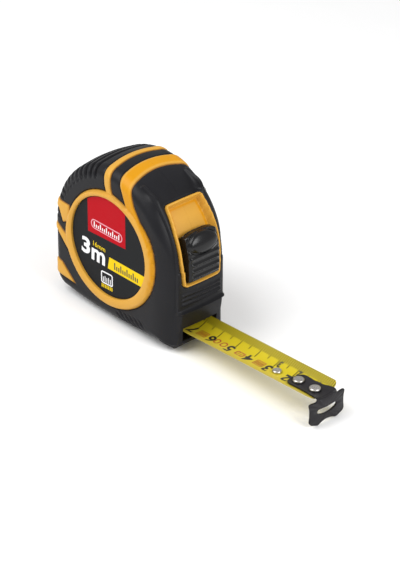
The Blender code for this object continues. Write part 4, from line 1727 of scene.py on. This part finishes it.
@dataclass
class CaseScrews:
    """Heads of the case screws, sunk in the far side."""

    head: float = 2.4  # radius
    soft: float = 0.35  # radius of the rounded edge
    faces: tuple[float, ...] = (14.75, 14.2, 13.4)  # distances from the parting plane

    def build(self) -> None:
        """Make each head: a rounded edge, a flat, and a tapered round socket."""
        for number, (place, face) in enumerate(zip(SCREW_PLACES, self.faces), start=1):
            name = f"case_screw_{number}"
            turn = np.linspace(0.0, np.pi / 2, 6)
            edge = np.array([self.head - self.soft, face - self.soft])
            edge = edge + self.soft * np.stack([np.cos(turn), np.sin(turn)], axis=-1)
            socket = [(1.15, face), (1.0, face - 0.2), (0.95, face - 0.9)]
            profile = np.concatenate([[(self.head, face - 2.5)], edge, socket])
            points, faces = turned(profile, np.array([place[0], 0.0, place[1]]), 1, 36)
            make_piece(
                f"{name}_head", points, faces, FINISHES.rivet.make(), "case", (name,)
            )


def main() -> None:
    """Build and dress the tape measure."""
    logging.basicConfig(level=logging.INFO, format="%(message)s")
    form, heights = CaseForm(), CaseHeights()
    for side in Side:
        CaseHalf(side, form, heights).build()
    for part in (Label(), LockButton(), Blade(), Hook(), BeltClip(), CaseScrews()):
        part.build()
    dress_nodes()
    Studio().build()


def dress_nodes() -> None:
    """Give its finish to every CAD node that no new piece stands for."""
    looks = {
        FINISHES.acetal: ("spool_arbor", "drum", "drum_cover"),
        FINISHES.blade: ("blade_coil",),
        FINISHES.spring: ("power_spring",),
        FINISHES.rivet: ("clip_screw",),
        FINISHES.button: ("lock_slider",),
        FINISHES.pad: ("brake_pad",),
    }
    for finish, nodes in looks.items():
        material = finish.make()
        for node in nodes:
            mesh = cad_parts[node].data
            mesh.materials.clear()
            mesh.materials.append(material)
            LOG.info("%s: dressed", node)


@dataclass
class Studio:
    """Camera, floor and lights."""

    azimuth: float = 46.52  # degrees
    elevation: float = 28.80  # degrees
    lens: float = 183.4  # millimetres
    camera_place: tuple[float, float, float] = (725.3, -655.9, 546.6)
    foot: tuple[float, float] = (101.0, -7.4)  # (x, z) of the hook's foot
    slope: float = 3.8  # of the floor, in degrees
    surround: float = 0.56  # strength of the white surround

    def build(self) -> None:
        """Set up all three."""
        self.camera()
        self.floor()
        self.lights()

    def camera(self) -> None:
        """The camera, looking down and from the front on the label side."""
        data = bpy.data.cameras.new("camera")
        data.lens = self.lens
        data.sensor_width = 36.0
        data.clip_start = 0.05
        data.clip_end = 20.0
        camera = bpy.data.objects.new("camera", data)
        bpy.context.scene.collection.objects.link(camera)
        camera.location = to_row(np.array(self.camera_place))
        camera.rotation_euler = (math.radians(90.0 - self.elevation), 0.0, math.radians(self.azimuth))
        bpy.context.scene.camera = camera

    def floor(self) -> None:
        """A pale floor that touches the hook's foot and the underside of the case."""
        rise = math.tan(math.radians(self.slope))
        edge = np.array([-3000.0, 3000.0])
        x, y = np.meshgrid(edge, edge, indexing="ij")
        z = self.foot[1] - 0.1 + (self.foot[0] - x) * rise
        points = to_row(np.stack([x, y, z], axis=-1).reshape(-1, 3))
        mesh = bpy.data.meshes.new("floor")
        mesh.from_pydata(points.tolist(), [], [[0, 2, 3, 1]])
        floor = bpy.data.objects.new("floor", mesh)
        bpy.context.scene.collection.objects.link(floor)
        look = Finish(
            "pale_floor", (0.93, 0.93, 0.93), (0.92, 0.92, 0.92), (0.8, 0.9), specular=0.1, grain=0.0
        )
        mesh.materials.append(look.make())

    def lights(self) -> None:
        """A white surround, a large soft key from the upper left and a strip from the front right."""
        world = bpy.data.worlds.new("studio")
        world.use_nodes = True
        nodes, links = world.node_tree.nodes, world.node_tree.links
        strength = nodes.new("ShaderNodeMapRange")
        strength.inputs["To Min"].default_value = self.surround
        strength.inputs["To Max"].default_value = 1.0
        links.new(nodes.new("ShaderNodeLightPath").outputs["Is Camera Ray"], strength.inputs["Value"])
        links.new(strength.outputs["Result"], nodes["Background"].inputs["Strength"])
        nodes["Background"].inputs["Color"].default_value = (1.0, 1.0, 1.0, 1.0)
        bpy.context.scene.world = world
        self.area("key", (-200.0, -420.0, 650.0), 0.6, 5.2)
        self.area("front", (520.0, 60.0, 300.0), 0.3, 1.9)
        bpy.context.scene.view_settings.view_transform = "Standard"

    def area(self, name: str, place: tuple[float, float, float], size: float, power: float) -> None:
        """A square light at place, aimed at the case.

        Args:
            name: its name.
            place: where it hangs, in millimetres in the case's frame.
            size: its side in metres.
            power: watts.
        """
        data = bpy.data.lights.new(name, "AREA")
        data.size = size
        data.energy = power
        light = bpy.data.objects.new(name, data)
        bpy.context.scene.collection.objects.link(light)
        spot = to_row(np.array(place))
        aim = to_row(np.array([20.0, 0.0, 25.0]))
        back = spot - aim
        light.location = spot
        light.rotation_euler = (
            math.atan2(math.hypot(back[0], back[1]), back[2]),
            0.0,
            math.atan2(back[1], back[0]) + math.pi / 2,
        )


if __name__ == "__main__":
    main()
